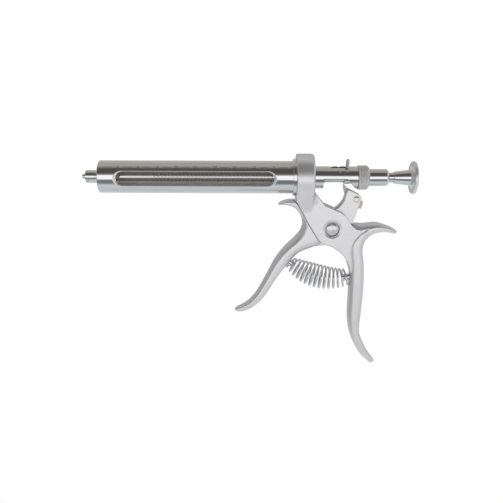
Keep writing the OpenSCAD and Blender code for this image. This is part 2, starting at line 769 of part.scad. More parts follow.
// Peg that stands in a grip and holds one end of the spring
module spring_peg(t) {
    reach = 4;
    color("silver") translate(spring_frame(t)[0]) rotate([0, -spring_deg(t), 0])
        translate([0, 0, -reach]) cylinder(r = 2.9, h = 2 * reach);
}

module front_spring_peg() {
    spring_peg(0);
}

module rear_spring_peg() {
    spring_peg(1);
}

// Assembly ---------------------------------------------------------------

fixed_handle();
barrel_casing();
glass_cylinder();
front_seal();
rear_seal();
barrel_lock_ring();
luer_hub();
guide_tube();
rod_guide_bush();
collar_clip();
pivot_screw();
pivot_nut();
pivot_bush();
pivot_washers();
rear_spring_peg();
handle_spring();
trigger_lever();
front_spring_peg();
pawl_rivet();
pawl_spring();
pawl();
toothed_rod();
piston_cap();
piston_seal();
piston_body();
piston_nut();
thumb_knob();
knob_screw();
knurled_collar();
dose_sleeve();
dose_pin();
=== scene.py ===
import json
import math

import bpy
import numpy as np
from mathutils import Matrix, Quaternion, Vector


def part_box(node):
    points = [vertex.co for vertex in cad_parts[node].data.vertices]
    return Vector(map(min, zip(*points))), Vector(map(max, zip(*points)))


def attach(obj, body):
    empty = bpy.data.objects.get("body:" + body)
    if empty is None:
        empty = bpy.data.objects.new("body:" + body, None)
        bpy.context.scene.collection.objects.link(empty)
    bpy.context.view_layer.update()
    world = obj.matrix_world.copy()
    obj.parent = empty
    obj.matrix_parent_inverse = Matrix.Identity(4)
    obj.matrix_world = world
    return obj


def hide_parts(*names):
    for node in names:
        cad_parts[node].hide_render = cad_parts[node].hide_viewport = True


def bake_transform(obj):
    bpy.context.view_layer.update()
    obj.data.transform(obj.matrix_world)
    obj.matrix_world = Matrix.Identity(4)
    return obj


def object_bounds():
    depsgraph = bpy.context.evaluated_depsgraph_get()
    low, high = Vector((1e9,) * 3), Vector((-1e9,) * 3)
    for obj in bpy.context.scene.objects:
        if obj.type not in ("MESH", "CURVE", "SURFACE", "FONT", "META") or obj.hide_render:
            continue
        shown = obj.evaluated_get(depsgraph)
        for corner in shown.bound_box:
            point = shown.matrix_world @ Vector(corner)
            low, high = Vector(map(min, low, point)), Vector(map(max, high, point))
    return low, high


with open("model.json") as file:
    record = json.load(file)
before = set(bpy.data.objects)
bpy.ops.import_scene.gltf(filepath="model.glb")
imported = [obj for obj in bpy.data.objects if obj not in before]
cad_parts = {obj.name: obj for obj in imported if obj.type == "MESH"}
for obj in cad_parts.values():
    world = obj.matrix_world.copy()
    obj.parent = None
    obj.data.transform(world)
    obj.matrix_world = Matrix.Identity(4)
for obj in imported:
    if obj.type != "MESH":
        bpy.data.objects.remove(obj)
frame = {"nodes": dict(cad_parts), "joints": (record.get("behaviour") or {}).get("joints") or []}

# Repeating syringe with pistol-grip handles. X runs along the barrel from the needle end to the
# thumb knob and Z is up; the near side is -Y. Shapes are worked out in millimetres and meshes are
# written in metres.

cad_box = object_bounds()
MM = 0.001


def span(node):
    """Lowest and highest corner of a CAD node, in millimetres."""
    lo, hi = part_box(node)
    return np.array(lo) / MM, np.array(hi) / MM


def joint(name):
    return next(j for j in frame["joints"] if j["name"] == name)


# Measures taken from the frame -------------------------------------------------------------

handle_lo, handle_hi = span("fixed_handle")
casing_hi = span("barrel_casing")[1]
tube_lo, tube_hi = span("guide_tube")
sleeve_lo, sleeve_hi = span("dose_sleeve")
collar_lo, collar_hi = span("knurled_collar")
knob_lo, knob_hi = span("thumb_knob")
hub_lo, hub_hi = span("luer_hub")
rod_lo, rod_hi = span("toothed_rod")
glass_lo, glass_hi = span("glass_cylinder")
lock_lo, lock_hi = span("barrel_lock_ring")

CASING_R = casing_hi[2]
CASING_END = casing_hi[0]
RING_X0 = handle_lo[0]
RING_R = handle_hi[2]
RING_W = 14.9
RING_X1 = RING_X0 + RING_W
FORK_H = 8.3
GAP_H = 4.3
PLATE_H = 4.0
PIVOT = np.array(joint("lever_squeeze")["pos_m"]) / MM
PIVOT_X, PIVOT_Z = PIVOT[0], PIVOT[2]
CHEEK_R = 14.7
TUBE_R = 9.25
SLEEVE_R = sleeve_hi[2]
SCREW_SEAT = 5.6
SEAT_R = 6.1
DISH_R = 7.6
DISH_EDGE = 0.3
DISH_SLOPE = 0.25
SLOT_DEG = 73
NOTCH_TURN = joint("dose_turn")["range_deg"][1]
BORE_R = 10.0
PITCH = 1000 / (math.pi * BORE_R**2)
TEETH_X0 = 45.0
TEETH = 45
DOSE_STEP = 2 * PITCH
PIN_X = 205.6
PIN_REACH = 16.1


# Mesh helpers ------------------------------------------------------------------------------

CUT_CREASE = 35


def outward(points, faces):
    """The faces of a closed mesh, turned so that they look outwards."""
    p = np.asarray(points, float)
    volume = 0.0
    for face in faces:
        q = p[list(face)]
        for k in range(1, len(q) - 1):
            volume += np.dot(q[0], np.cross(q[k], q[k + 1]))
    return faces if volume > 0 else [list(face)[::-1] for face in faces]


def new_object(name, points, faces):
    """Smooth-shaded mesh from points in millimetres."""
    mesh = bpy.data.meshes.new(name)
    mesh.from_pydata((np.asarray(points, float) * MM).tolist(), [], faces)
    mesh.update()
    mesh.shade_smooth()
    obj = bpy.data.objects.new(name, mesh)
    bpy.context.scene.collection.objects.link(obj)
    return obj


def fillet(corners, steps):
    """Profile entries [x, r, normal x, normal r] from corners (x, r, rounding radius)."""
    pts = np.array([c[:2] for c in corners], float)
    along = pts[1:] - pts[:-1]
    length = np.linalg.norm(along, axis=1)
    along /= length[:, None]
    normal = np.stack([-along[:, 1], along[:, 0]], 1)
    out = [[*pts[0], *normal[0]]]
    for i in range(1, len(pts) - 1):
        radius = corners[i][2] if len(corners[i]) > 2 else 0
        n0, n1 = normal[i - 1], normal[i]
        turn = math.acos(max(-1.0, min(1.0, float(n0 @ n1))))
        if radius <= 0 or turn < 0.02:
            out += [[*pts[i], *n0], [*pts[i], *n1]]
            continue
        reach = min(radius * math.tan(turn / 2), 0.48 * length[i - 1], 0.48 * length[i])
        radius = reach / math.tan(turn / 2)
        cross = along[i - 1][0] * along[i][1] - along[i - 1][1] * along[i][0]
        side = 1 if cross < 0 else -1
        start = pts[i] - along[i - 1] * reach
        centre = start - side * n0 * radius
        for k in range(steps + 1):
            a = turn * k / steps
            n = (n0 * math.sin(turn - a) + n1 * math.sin(a)) / math.sin(turn)
            out.append([*(centre + side * n * radius), *n])
    out.append([*pts[-1], *normal[-1]])
    return np.array(out)


def ring_points(x, r, segments):
    a = 2 * math.pi * np.arange(segments) / segments
    return np.stack([np.full(segments, x), r * np.sin(a), r * np.cos(a)], 1)


def turned(name, corners, segments, steps=4, closed=False):
    """Solid turned about the X axis, with exact normals. Entries are kept for later cuts."""
    entries = fillet(corners, steps)
    rows, row_of = [], []
    for e in entries:
        if not rows or np.linalg.norm(rows[-1] - e[:2]) > 1e-6:
            rows.append(e[:2])
        row_of.append(len(rows) - 1)
    if closed and np.linalg.norm(rows[-1] - rows[0]) < 1e-6:
        row_of = [0 if r == len(rows) - 1 else r for r in row_of]
        rows.pop()
    points, first = [], []
    for x, r in rows:
        first.append(len(points))
        points += [(x, 0, 0)] if r < 1e-6 else ring_points(x, r, segments).tolist()
    size = [1 if r < 1e-6 else segments for _, r in rows]
    faces, normals = [], []
    for e in range(len(entries) - 1):
        i, j = row_of[e], row_of[e + 1]
        if i == j or (size[i] == 1 and size[j] == 1):
            continue
        for k in range(segments):
            m = (k + 1) % segments
            corner = [(i, k, e), (j, k, e + 1), (j, m, e + 1), (i, m, e)]
            if size[i] == 1:
                corner = corner[:3]
            elif size[j] == 1:
                corner = corner[:2] + corner[3:]
            faces.append([first[r] + (q if size[r] > 1 else 0) for r, q, _ in corner])
            for r, q, entry in corner:
                a = 2 * math.pi * q / segments
                nx, nr = entries[entry][2:]
                normals.append((nx, nr * math.sin(a), nr * math.cos(a)))
    obj = new_object(name, points, faces)
    obj.data.normals_split_custom_set(normals)
    return obj, entries


def skin(rings, n):
    """Faces round a row of rings of n points each, with flat ends."""
    faces = []
    for i in range(rings - 1):
        for k in range(n):
            m = (k + 1) % n
            faces.append([i * n + k, i * n + m, (i + 1) * n + m, (i + 1) * n + k])
    faces.append(list(range(n - 1, -1, -1)))
    faces.append([(rings - 1) * n + k for k in range(n)])
    return faces


def loft(name, rings):
    """Closed flat-shaded mesh through rings of equally many points."""
    points = np.concatenate(rings)
    obj = new_object(name, points, outward(points, skin(len(rings), len(rings[0]))))
    obj.data.shade_flat()
    return obj


def subtract(obj, *cutters):
    """Cuts the cutters away and removes them."""
    for cutter in cutters:
        mod = obj.modifiers.new("cut", "BOOLEAN")
        mod.operation = "DIFFERENCE"
        mod.solver = "EXACT"
        mod.object = cutter
    graph = bpy.context.evaluated_depsgraph_get()
    mesh = bpy.data.meshes.new_from_object(obj.evaluated_get(graph))
    obj.modifiers.clear()
    obj.data = mesh
    for cutter in cutters:
        bpy.data.objects.remove(cutter)
    return obj


def recut_normals(obj, entries):
    """After a cut, turned faces get their exact normals and the others stay smooth up to a crease."""
    mesh = obj.data
    mesh.shade_smooth()
    mesh.set_sharp_from_angle(angle=math.radians(CUT_CREASE))
    count = len(mesh.loops)
    normals = np.zeros(count * 3, np.float32)
    mesh.corner_normals.foreach_get("vector", normals)
    normals = normals.reshape(-1, 3)
    co = np.zeros(len(mesh.vertices) * 3, np.float32)
    mesh.vertices.foreach_get("co", co)
    co = co.reshape(-1, 3) / MM
    vertex = np.zeros(count, np.int32)
    mesh.loops.foreach_get("vertex_index", vertex)
    face_normal = np.zeros(len(mesh.polygons) * 3, np.float32)
    mesh.polygons.foreach_get("normal", face_normal)
    total = np.zeros(len(mesh.polygons), np.int32)
    mesh.polygons.foreach_get("loop_total", total)
    fn = np.repeat(face_normal.reshape(-1, 3), total, 0)
    p = co[vertex]
    r = np.hypot(p[:, 1], p[:, 2])
    radial = p[:, 1:] / np.maximum(r, 1e-9)[:, None]
    fr = (fn[:, 1:] * radial).sum(1)
    best = np.full(count, 1e9)
    chosen = np.zeros((count, 2))
    for a, b in zip(entries[:-1], entries[1:]):
        d = b[:2] - a[:2]
        size = float(d @ d)
        if size < 1e-12:
            continue
        q = np.stack([p[:, 0], r], 1) - a[:2]
        t = np.clip(q @ d / size, 0, 1)
        away = np.linalg.norm(q - t[:, None] * d, axis=1)
        n = a[2:] * (1 - t)[:, None] + b[2:] * t[:, None]
        n /= np.linalg.norm(n, axis=1)[:, None]
        match = n[:, 0] * fn[:, 0] + n[:, 1] * fr
        away = np.where(match > 0.95, away, 1e9)
        better = away < best
        best = np.where(better, away, best)
        chosen[better] = n[better]
    hit = best < 0.03
    normals[hit, 0] = chosen[hit, 0]
    normals[hit, 1:] = chosen[hit, 1:2] * radial[hit]
    mesh.normals_split_custom_set(normals.tolist())


def smooth_curve(points, steps):
    """Catmull-Rom curve through a list of points."""
    p = np.array(points, float)
    out = []
    for i in range(len(p) - 1):
        a, b, c, d = p[max(i - 1, 0)], p[i], p[i + 1], p[min(i + 2, len(p) - 1)]
        for k in range(steps):
            t = k / steps
            out.append(0.5 * (2 * b + (c - a) * t + (2 * a - 5 * b + 4 * c - d) * t * t
                              + (3 * b - a - 3 * c + d) * t**3))
    out.append(p[-1])
    return np.array(out)


def arc(cx, cz, r, a0, a1, n):
    a = np.radians(np.linspace(a0, a1, n + 1))
    return np.stack([cx + r * np.cos(a), cz + r * np.sin(a)], 1)


# Fields ------------------------------------------------------------------------------------
# The cast handles are level sets of distance-like fields: minus inside, plus outside.


class Grid:
    def __init__(self, lo, hi, step):
        self.lo, self.step = np.array(lo, float), step
        self.shape = tuple(int(math.ceil((h - l) / step)) + 1 for l, h in zip(lo, hi))
        axes = [l + step * np.arange(n) for l, n in zip(lo, self.shape)]
        self.x = axes[0].astype(np.float32)[:, None, None]
        self.y = axes[1].astype(np.float32)[None, :, None]
        self.z = axes[2].astype(np.float32)[None, None, :]

    def curve(self, points):
        """Distance to an open line in the XZ plane."""
        x, z = self.x, self.z
        best = np.full((x.size, 1, z.size), 1e9, np.float32)
        line = np.asarray(points, np.float32)
        for (ax, az), (bx, bz) in zip(line[:-1], line[1:]):
            dx, dz = bx - ax, bz - az
            t = np.clip(((x - ax) * dx + (z - az) * dz) / max(dx * dx + dz * dz, 1e-9), 0, 1)
            best = np.minimum(best, (x - ax - t * dx) ** 2 + (z - az - t * dz) ** 2)
        return np.sqrt(best)

    def outline(self, points):
        """Signed distance to a closed outline in the XZ plane."""
        x, z = self.x, self.z
        inside = np.zeros((x.size, 1, z.size), bool)
        loop = np.concatenate([points, points[:1]]).astype(np.float32)
        for (ax, az), (bx, bz) in zip(loop[:-1], loop[1:]):
            if abs(bz - az) > 1e-9:
                inside ^= ((az > z) != (bz > z)) & (x < ax + (z - az) * (bx - ax) / (bz - az))
        d = self.curve(loop)
        return np.where(inside, -d, d)

    def spread(self, places, values, reach):
        """Values known at a few places, smoothly spread over the XZ plane."""
        x, z = self.x, self.z
        top = np.zeros((x.size, 1, z.size), np.float32)
        under = np.full(top.shape, 1e-12, np.float32)
        for (px, pz), value in zip(places, values):
            w = np.exp(-np.minimum(((x - px) ** 2 + (z - pz) ** 2) / (2 * reach**2), 60))
            top += w * value
            under += w
        near = np.full(top.shape, 1e9, np.float32)
        nearest = np.zeros(top.shape, np.float32)
        for (px, pz), value in zip(places, values):
            d = (x - px) ** 2 + (z - pz) ** 2
            nearest = np.where(d < near, value, nearest)
            near = np.minimum(near, d)
        return np.where(under > 1e-9, top / under, nearest)


def blend_min(a, b, k):
    """Union with a fillet of about k."""
    h = np.maximum(k - np.abs(a - b), 0) / k
    return np.minimum(a, b) - h * h * k / 4


def blend_max(a, b, k):
    return -blend_min(-a, -b, k)


def level_set_mesh(name, grid, field):
    """Smooth mesh of quads on the zero level of a field."""
    f = field.astype(np.float32)
    f = np.where(np.abs(f) < 1e-5, np.float32(1e-5), f)
    inside = f < 0
    cells = tuple(n - 1 for n in f.shape)
    total = np.zeros(cells + (3,), np.float32)
    count = np.zeros(cells, np.float32)
    quads = []
    for axis in range(3):
        a = [slice(None)] * 3
        b = [slice(None)] * 3
        a[axis], b[axis] = slice(0, -1), slice(1, None)
        a, b = tuple(a), tuple(b)
        crossing = inside[a] != inside[b]
        where = np.argwhere(crossing)
        fa, fb = f[a][crossing], f[b][crossing]
        spot = where.astype(np.float32)
        spot[:, axis] += fa / (fa - fb)
        u, v = [k for k in range(3) if k != axis]
        corners = []
        for du, dv in ((0, 0), (1, 0), (1, 1), (0, 1)):
            cell = where.copy()
            cell[:, u] -= du
            cell[:, v] -= dv
            ok = ((cell >= 0) & (cell < np.array(cells))).all(1)
            idx = tuple(cell[ok].T)
            np.add.at(total, idx, spot[ok])
            np.add.at(count, idx, 1)
            corners.append((cell, ok))
        good = np.logical_and.reduce([c[1] for c in corners])
        ring = np.stack([np.ravel_multi_index(tuple(c[0][good].T), cells) for c in corners], 1)
        backward = inside[a][crossing][good] == (axis == 1)
        ring[backward] = ring[backward][:, ::-1]
        quads.append(ring)
    used = count > 0
    number = np.cumsum(used.ravel()) - 1
    p = total[used] / count[used][:, None]
    faces = number[np.concatenate(quads)]
    slope = np.gradient(f)
    size = np.array(f.shape) - 1.001

    def sample(volume, q):
        q = np.clip(q, 0, size)
        base = q.astype(int)
        t = q - base
        out = 0
        for dx in (0, 1):
            for dy in (0, 1):
                for dz in (0, 1):
                    w = (np.abs(1 - dx - t[:, 0]) * np.abs(1 - dy - t[:, 1])
                         * np.abs(1 - dz - t[:, 2]))
                    out = out + w * volume[base[:, 0] + dx, base[:, 1] + dy, base[:, 2] + dz]
        return out

    def gradient(q):
        return np.stack([sample(s, q) for s in slope], 1)

    edges = np.concatenate([faces[:, [0, 1]], faces[:, [1, 2]], faces[:, [2, 3]], faces[:, [3, 0]]])
    degree = np.bincount(edges.ravel(), minlength=len(p)).astype(np.float32)

    def settle(q, passes):
        for _ in range(passes):
            g = gradient(q)
            move = sample(f, q)[:, None] * g / np.maximum((g * g).sum(1), 1e-3)[:, None]
            q = q - np.clip(move, -0.5, 0.5)
        return q

    p = settle(p, 2)
    for _ in range(3):
        near = np.zeros_like(p)
        for c in range(3):
            near[:, c] = (np.bincount(edges[:, 0], p[edges[:, 1], c], len(p))
                          + np.bincount(edges[:, 1], p[edges[:, 0], c], len(p)))
        p = p + 0.5 * (near / np.maximum(degree, 1)[:, None] - p)
        p = settle(p, 2)
    g = gradient(p)
    g /= np.maximum(np.linalg.norm(g, axis=1), 1e-6)[:, None]
    obj = new_object(name, p * grid.step + grid.lo, faces.tolist())
    obj.data.normals_split_custom_set_from_vertices(g.tolist())
    return obj


def pillow(y, depth, rounding, half, power):
    """Distance-like field of a bar with rounded sides; depth is minus inside its outline."""
    a = np.maximum(1 + depth / rounding, 0) ** power
    b = (np.abs(y) / half) ** power
    return ((a + b) ** (1 / power) - 1) * np.minimum(rounding, half)


def slab(y, outline, half, edge):
    """Flat plate with rounded edges."""
    return blend_max(outline, np.abs(y) - half, edge)


# Cast handles ------------------------------------------------------------------------------
# A rib is [outer x, outer z, inner x, inner z, half width].

CAST_STEP = 0.5

palm_ribs = np.array([
    [233.4, -166.7, 236.9, -165.0, 3.2], [231.4, -164.8, 235.9, -162.5, 4.8],
    [224.4, -158.1, 230.6, -155.6, 6.6], [217.4, -146.5, 225.2, -145.0, 7.4],
    [213.2, -135.1, 222.3, -135.2, 7.9], [211.2, -121.0, 222.9, -120.6, 8.3],
    [211.3, -104.0, 223.9, -103.6, 8.5], [211.3, -88.0, 224.1, -88.0, 8.6],
    [211.0, -75.0, 223.4, -74.0, 8.6], [209.8, -64.0, 221.9, -62.5, 8.6],
    [209.5, -52.0, 223.6, -54.6, 8.6], [212.2, -39.6, 226.8, -50.6, 8.5],
    [221.0, -38.9, 231.0, -47.9, 8.1], [231.3, -37.9, 236.2, -46.5, 7.3],
    [240.1, -40.0, 242.4, -46.5, 6.0], [247.2, -43.3, 247.3, -47.6, 4.4],
    [250.6, -45.6, 249.9, -47.2, 2.6],
])
FIRST_HOOK_RIB = 10
finger_ribs = np.array([
    [112.0, -116.2, 113.6, -118.1, 2.6], [114.4, -114.1, 116.6, -118.4, 4.2],
    [119.5, -111.5, 122.4, -117.0, 5.6], [125.2, -107.2, 129.6, -113.0, 6.3],
    [131.5, -99.3, 138.0, -104.3, 6.8], [139.6, -84.1, 148.0, -88.4, 7.2],
    [146.6, -70.3, 157.3, -75.6, 7.7], [154.7, -59.4, 167.6, -64.3, 8.1],
    [162.5, -51.6, 184.0, -57.6, 8.3], [167.1, -46.2, 187.0, -52.0, 8.3],
    [169.6, -40.3, 186.0, -43.0, 8.3], [168.9, -34.2, 182.0, -33.0, 8.3],
    [165.4, -28.3, 173.0, -20.4, 8.2], [161.4, -25.0, 164.8, -18.4, 8.0],
    [156.0, -23.4, 157.0, -18.6, 7.1], [151.5, -23.3, 152.3, -20.0, 5.4],
    [148.9, -22.9, 149.3, -21.9, 3.2],
])


def grip_outline(ribs):
    outer = smooth_curve(ribs[:, :2], 6)
    inner = smooth_curve(ribs[:, 2:4], 6)
    return np.concatenate([outer, inner[::-1]])


def grip_field(grid, ribs, powers, roundings):
    """Rounded bar through a list of ribs; its edges are rounder where the power is low."""
    middle = (ribs[:, :2] + ribs[:, 2:4]) / 2
    across = np.linalg.norm(ribs[:, :2] - ribs[:, 2:4], axis=1) / 2
    depth = grid.outline(grip_outline(ribs))
    half = grid.spread(middle, ribs[:, 4], 7)
    rounding = grid.spread(middle, np.clip(across * 0.8, 0.9, roundings), 7)
    return pillow(grid.y, depth, rounding, half, grid.spread(middle, powers, 7))


def cheek_front(g):
    return np.concatenate([
        [[RING_X0 - g, -12], [RING_X0 + 0.4 - g, -18.5], [166.1 - g, -22.9 - g / 2],
         [174.1 - g, -37.8 - g / 2]],
        arc(PIVOT_X, PIVOT_Z, CHEEK_R + g, 207, 238, 10),
    ])


def cheek_lower():
    return np.concatenate([
        cheek_front(0),
        arc(PIVOT_X, PIVOT_Z, CHEEK_R, 241, 262, 4),
        smooth_curve([[195.5, -58.5], [203.4, -64.5], [207.1, -69.4], [209.7, -74.3],
                      [211.3, -80.5]], 3),
    ])


cheek_upper = smooth_curve([[224.4, -43.2], [219.5, -43.6], [214.6, -42.3], [209.9, -37.9],
                            [207.2, -33.4], [203.4, -29.4], [197.3, -26.5], [189.8, -23.1],
                            [187.2, -21.6], [178.4, -10.6]], 3)
cheek_back = smooth_curve([[212.2, -74.3], [210.9, -66.3], [211.5, -59.4], [213.6, -53.3],
                           [218.1, -47.3]], 3)
fork_slot = [[150, -24.2], [185.5, -24.2], [185.5, -8], [226, -8], [226, -37], [212.7, -37],
             [211.5, PIVOT_Z], [PIVOT_X, PIVOT_Z], [PIVOT_X, -75], [150, -75]]


def cylinder_y(grid, x, z, r):
    return np.hypot(grid.x - x, grid.z - z) - r


def screw_seat(grid):
    """Counterbore and dished rim round the pivot, on both cheeks."""
    away = np.hypot(grid.x - PIVOT_X, grid.z - PIVOT_Z)
    height = np.abs(grid.y)
    bore = np.maximum(away - SEAT_R, SCREW_SEAT - height)
    floor = FORK_H - DISH_EDGE - DISH_SLOPE * (DISH_R - away)
    return np.minimum(bore, np.maximum(away - DISH_R, floor - height))


def build_handle():
    step = CAST_STEP
    grid = Grid(handle_lo - 2, handle_hi + 2, step)
    y = grid.y
    off_axis = np.hypot(grid.y, grid.z)
    ends = np.maximum(RING_X0 - grid.x, grid.x - RING_X1)
    face = grid.outline(np.concatenate([cheek_lower(), cheek_back, cheek_upper]))
    cheeks = slab(y, face, FORK_H - 0.8 * np.clip((grid.x - 219) / 5, 0, 1), 0.6)
    core = slab(y, grid.outline(np.concatenate([cheek_lower(), [[217, -84], [218, -60], [223, -50]],
                                                cheek_upper])), FORK_H - 1.5, 0.6)

    def between_ends(field):
        return blend_max(blend_max(field, RING_X0 - grid.x, 1.0), grid.x - RING_X1, 3.0)

    # the ring runs out into the cheeks in a long hollow fillet
    ring = off_axis - RING_R
    body = np.minimum(between_ends(blend_min(ring, cheeks, 11.0)),
                      blend_min(between_ends(ring), cheeks, 5.0))
    body = np.maximum(body, np.minimum(face, np.maximum(ends, -RING_R - grid.z)))
    # the palm grip stands behind a rounded step along the back of the cheek
    hook = np.arange(len(palm_ribs)) >= FIRST_HOOK_RIB
    palm = grip_field(grid, palm_ribs, np.where(hook, 2.1, 2.3), np.where(hook, 6.5, 6.0))
    step_line = np.concatenate([cheek_back, cheek_upper[:1]])
    palm = np.maximum(palm, pillow(y, -grid.curve(step_line), 1.2, 9.0, 2.3))
    palm = np.where(face < 0, 1e3, palm)
    solid = np.minimum(body, np.minimum(core, palm))
    solid = np.maximum(solid, CASING_R + 0.05 - np.where(grid.x < 175.7, off_axis, 99))
    solid = np.maximum(solid, TUBE_R + 0.05 - off_axis)
    slot = np.maximum(grid.outline(fork_slot), np.abs(y) - GAP_H)
    swing = np.maximum(cylinder_y(grid, PIVOT_X, PIVOT_Z, 16.4), np.abs(y) - GAP_H)
    solid = np.maximum(solid, -np.minimum(slot, swing))
    solid = np.maximum(solid, -cylinder_y(grid, PIVOT_X, PIVOT_Z, 3.02))
    solid = blend_max(solid, -screw_seat(grid), 0.3)
    obj = level_set_mesh("fixed_handle_cast", grid, solid)
    return place(obj, "frame", "satin_casting", "fixed_handle")


lever_plate = np.concatenate([
    [[168, -27.6], [178, -28], [188, -27.6]],
    smooth_curve([[192.5, -26.9], [196.5, -25.4], [201.5, -20.8], [203.7, -16.9], [204.6, -13.4],
                  [206.4, -9.0]], 3),
    smooth_curve([[206.6, -8.8], [213.0, -12.0], [216.8, -14.0], [218.7, -16.8], [218.4, -18.8],
                  [216.1, -25.9], [211.9, -37.9]], 3),
    arc(PIVOT_X, PIVOT_Z, 15, 10, -107, 14),
    [[187.9, -57.7], [184, -58.0], [176, -59.5], [168, -60], [166, -52], [170, -40]],
])
pawl_slot = [[198, -3], [226, -3], [226, -28.5], [214, -28.5], [209.5, -25], [204.5, -19.6],
             [198, -19.6]]


def build_lever():
    step = CAST_STEP
    lo, hi = span("trigger_lever")
    grid = Grid(lo - 2, hi + 2, step)
    y = grid.y
    gap = 0.15
    finger = grip_field(grid, finger_ribs, np.full(len(finger_ribs), 2.15), 6.6)
    far = [[PIVOT_X + 40 * math.cos(math.radians(238)), PIVOT_Z + 40 * math.sin(math.radians(238))],
           [240, -80], [240, -12]]
    shoulder = np.maximum(grid.outline(np.concatenate([cheek_front(gap), far])), PLATE_H - np.abs(y))
    under_ring = grid.outline([[RING_X0 - gap, -12], [RING_X0 - gap, -RING_R - gap],
                               [166.1 - gap, -22.9], [167, -24.8], [240, -24.8], [240, -12]])
    finger = blend_max(finger, -shoulder, 0.2)
    finger = blend_max(finger, -under_ring, 0.5)
    # the hollow edge of the arm is rounded more than its other edges
    hollow = np.clip((209 - grid.x) / 4, 0, 1) * np.clip((grid.z + 28) / 3, 0, 1)
    arm = slab(y, grid.outline(lever_plate), PLATE_H, 0.6 + 2.6 * hollow)
    solid = np.minimum(finger, arm)
    solid = np.maximum(solid, -cylinder_y(grid, PIVOT_X, PIVOT_Z, 5.05))
    solid = np.maximum(solid, -np.maximum(grid.outline(pawl_slot), np.abs(y) - 1.6))
    obj = level_set_mesh("trigger_lever_cast", grid, solid)
    return place(obj, "lever", "satin_casting", "trigger_lever")


# Materials ---------------------------------------------------------------------------------

made = {}


def node(tree, kind, **values):
    """New shader node; a value goes to the input of that name, or else to the attribute."""
    n = tree.nodes.new(kind)
    for key, value in values.items():
        if key in n.inputs:
            n.inputs[key].default_value = value
        else:
            setattr(n, key, value)
    return n


def wire(tree, a, b):
    tree.links.new(a, b)


def noise(tree, vector, scale, detail, rough=0.5, squash_axis=None):
    mapping = node(tree, "ShaderNodeMapping")
    if squash_axis is not None:
        mapping.inputs["Scale"].default_value = squash_axis
    wire(tree, vector, mapping.inputs["Vector"])
    n = node(tree, "ShaderNodeTexNoise", Scale=scale, Detail=detail, Roughness=rough)
    wire(tree, mapping.outputs["Vector"], n.inputs["Vector"])
    return n.outputs["Fac"]


def remap(tree, value, lo, hi, from_lo=0.3, from_hi=0.7):
    n = node(tree, "ShaderNodeMapRange")
    n.inputs["From Min"].default_value = from_lo
    n.inputs["From Max"].default_value = from_hi
    n.inputs["To Min"].default_value = lo
    n.inputs["To Max"].default_value = hi
    wire(tree, value, n.inputs["Value"])
    return n.outputs["Result"]


def bump(tree, height, strength, distance, normal=None):
    n = node(tree, "ShaderNodeBump", Strength=strength, Distance=distance)
    wire(tree, height, n.inputs["Height"])
    if normal is not None:
        wire(tree, normal, n.inputs["Normal"])
    return n.outputs["Normal"]


def start_material(name):
    mat = bpy.data.materials.new(name)
    mat.use_nodes = True
    tree = mat.node_tree
    tree.nodes.clear()
    out = node(tree, "ShaderNodeOutputMaterial")
    shader = node(tree, "ShaderNodeBsdfPrincipled")
    wire(tree, shader.outputs["BSDF"], out.inputs["Surface"])
    place_in = node(tree, "ShaderNodeTexCoord").outputs["Object"]
    return mat, tree, shader, place_in


def tint(tree, value, dark, light):
    ramp = node(tree, "ShaderNodeValToRGB")
    ramp.color_ramp.elements[0].position = 0.3
    ramp.color_ramp.elements[0].color = (*dark, 1)
    ramp.color_ramp.elements[1].position = 0.7
    ramp.color_ramp.elements[1].color = (*light, 1)
    wire(tree, value, ramp.inputs["Fac"])
    return ramp.outputs["Color"]


def metal(name, light, dark, rough_lo, rough_hi, grain=0.0, grain_scale=2500, waves=0.0,
          lines=None, line_strength=0.0):
    """Plated or bare metal: cloudy colour and roughness, fine grain, slow waves and tool lines."""
    mat, tree, shader, where = start_material(name)
    cloud = noise(tree, where, 60, 4)
    smudge = noise(tree, where, 220, 5, 0.6)
    wire(tree, tint(tree, cloud, dark, light), shader.inputs["Base Color"])
    wire(tree, remap(tree, smudge, rough_lo, rough_hi), shader.inputs["Roughness"])
    shader.inputs["Metallic"].default_value = 1.0
    normal = None
    if waves:
        normal = bump(tree, noise(tree, where, 45, 1), waves, 0.0002)
    if lines:
        normal = bump(tree, noise(tree, where, 1, 2, 0.5, lines), line_strength, 0.00005, normal)
    if grain:
        normal = bump(tree, noise(tree, where, grain_scale, 2), grain, 0.0001, normal)
    if normal is not None:
        wire(tree, normal, shader.inputs["Normal"])
    return mat


def bands(tree, split, stops, upper, lower):
    """Colour by the angle of a vector round the X axis; upper and lower are how warm it is."""
    back = node(tree, "ShaderNodeMath", operation="MULTIPLY")
    back.inputs[1].default_value = -1
    wire(tree, split.outputs["Y"], back.inputs[0])
    turn = node(tree, "ShaderNodeMath", operation="ARCTAN2")
    wire(tree, split.outputs["Z"], turn.inputs[0])
    wire(tree, back.outputs["Value"], turn.inputs[1])
    share = remap(tree, turn.outputs["Value"], 0, 1, -math.pi, math.pi)
    ramp = node(tree, "ShaderNodeValToRGB")
    wire(tree, share, ramp.inputs["Fac"])
    elements = ramp.color_ramp.elements
    while len(elements) < len(stops):
        elements.new(0.5)
    for element, (deg, light) in zip(elements, stops):
        rise = math.sin(math.radians(deg))
        warm = (upper if rise > 0 else lower) * abs(rise) ** 0.5
        element.position = (deg + 180) / 360
        element.color = (light * (1 + warm), light, light * (1 - warm), 1)
    return ramp.outputs["Color"]


# Painted light: the bore of the casing glows by the angle round its axis, in place of the light that it
# would gather through the window
BORE_PAINTED_GLOW = [
    (-180, 0.07), (-165, 0.05), (-158, 0.38), (-152, 0.38), (-145, 0.04), (-100, 0.03), (0, 0.03),
    (60, 0.02), (125, 0.02), (150, 0.20), (160, 0.20), (170, 0.05), (180, 0.07),
]


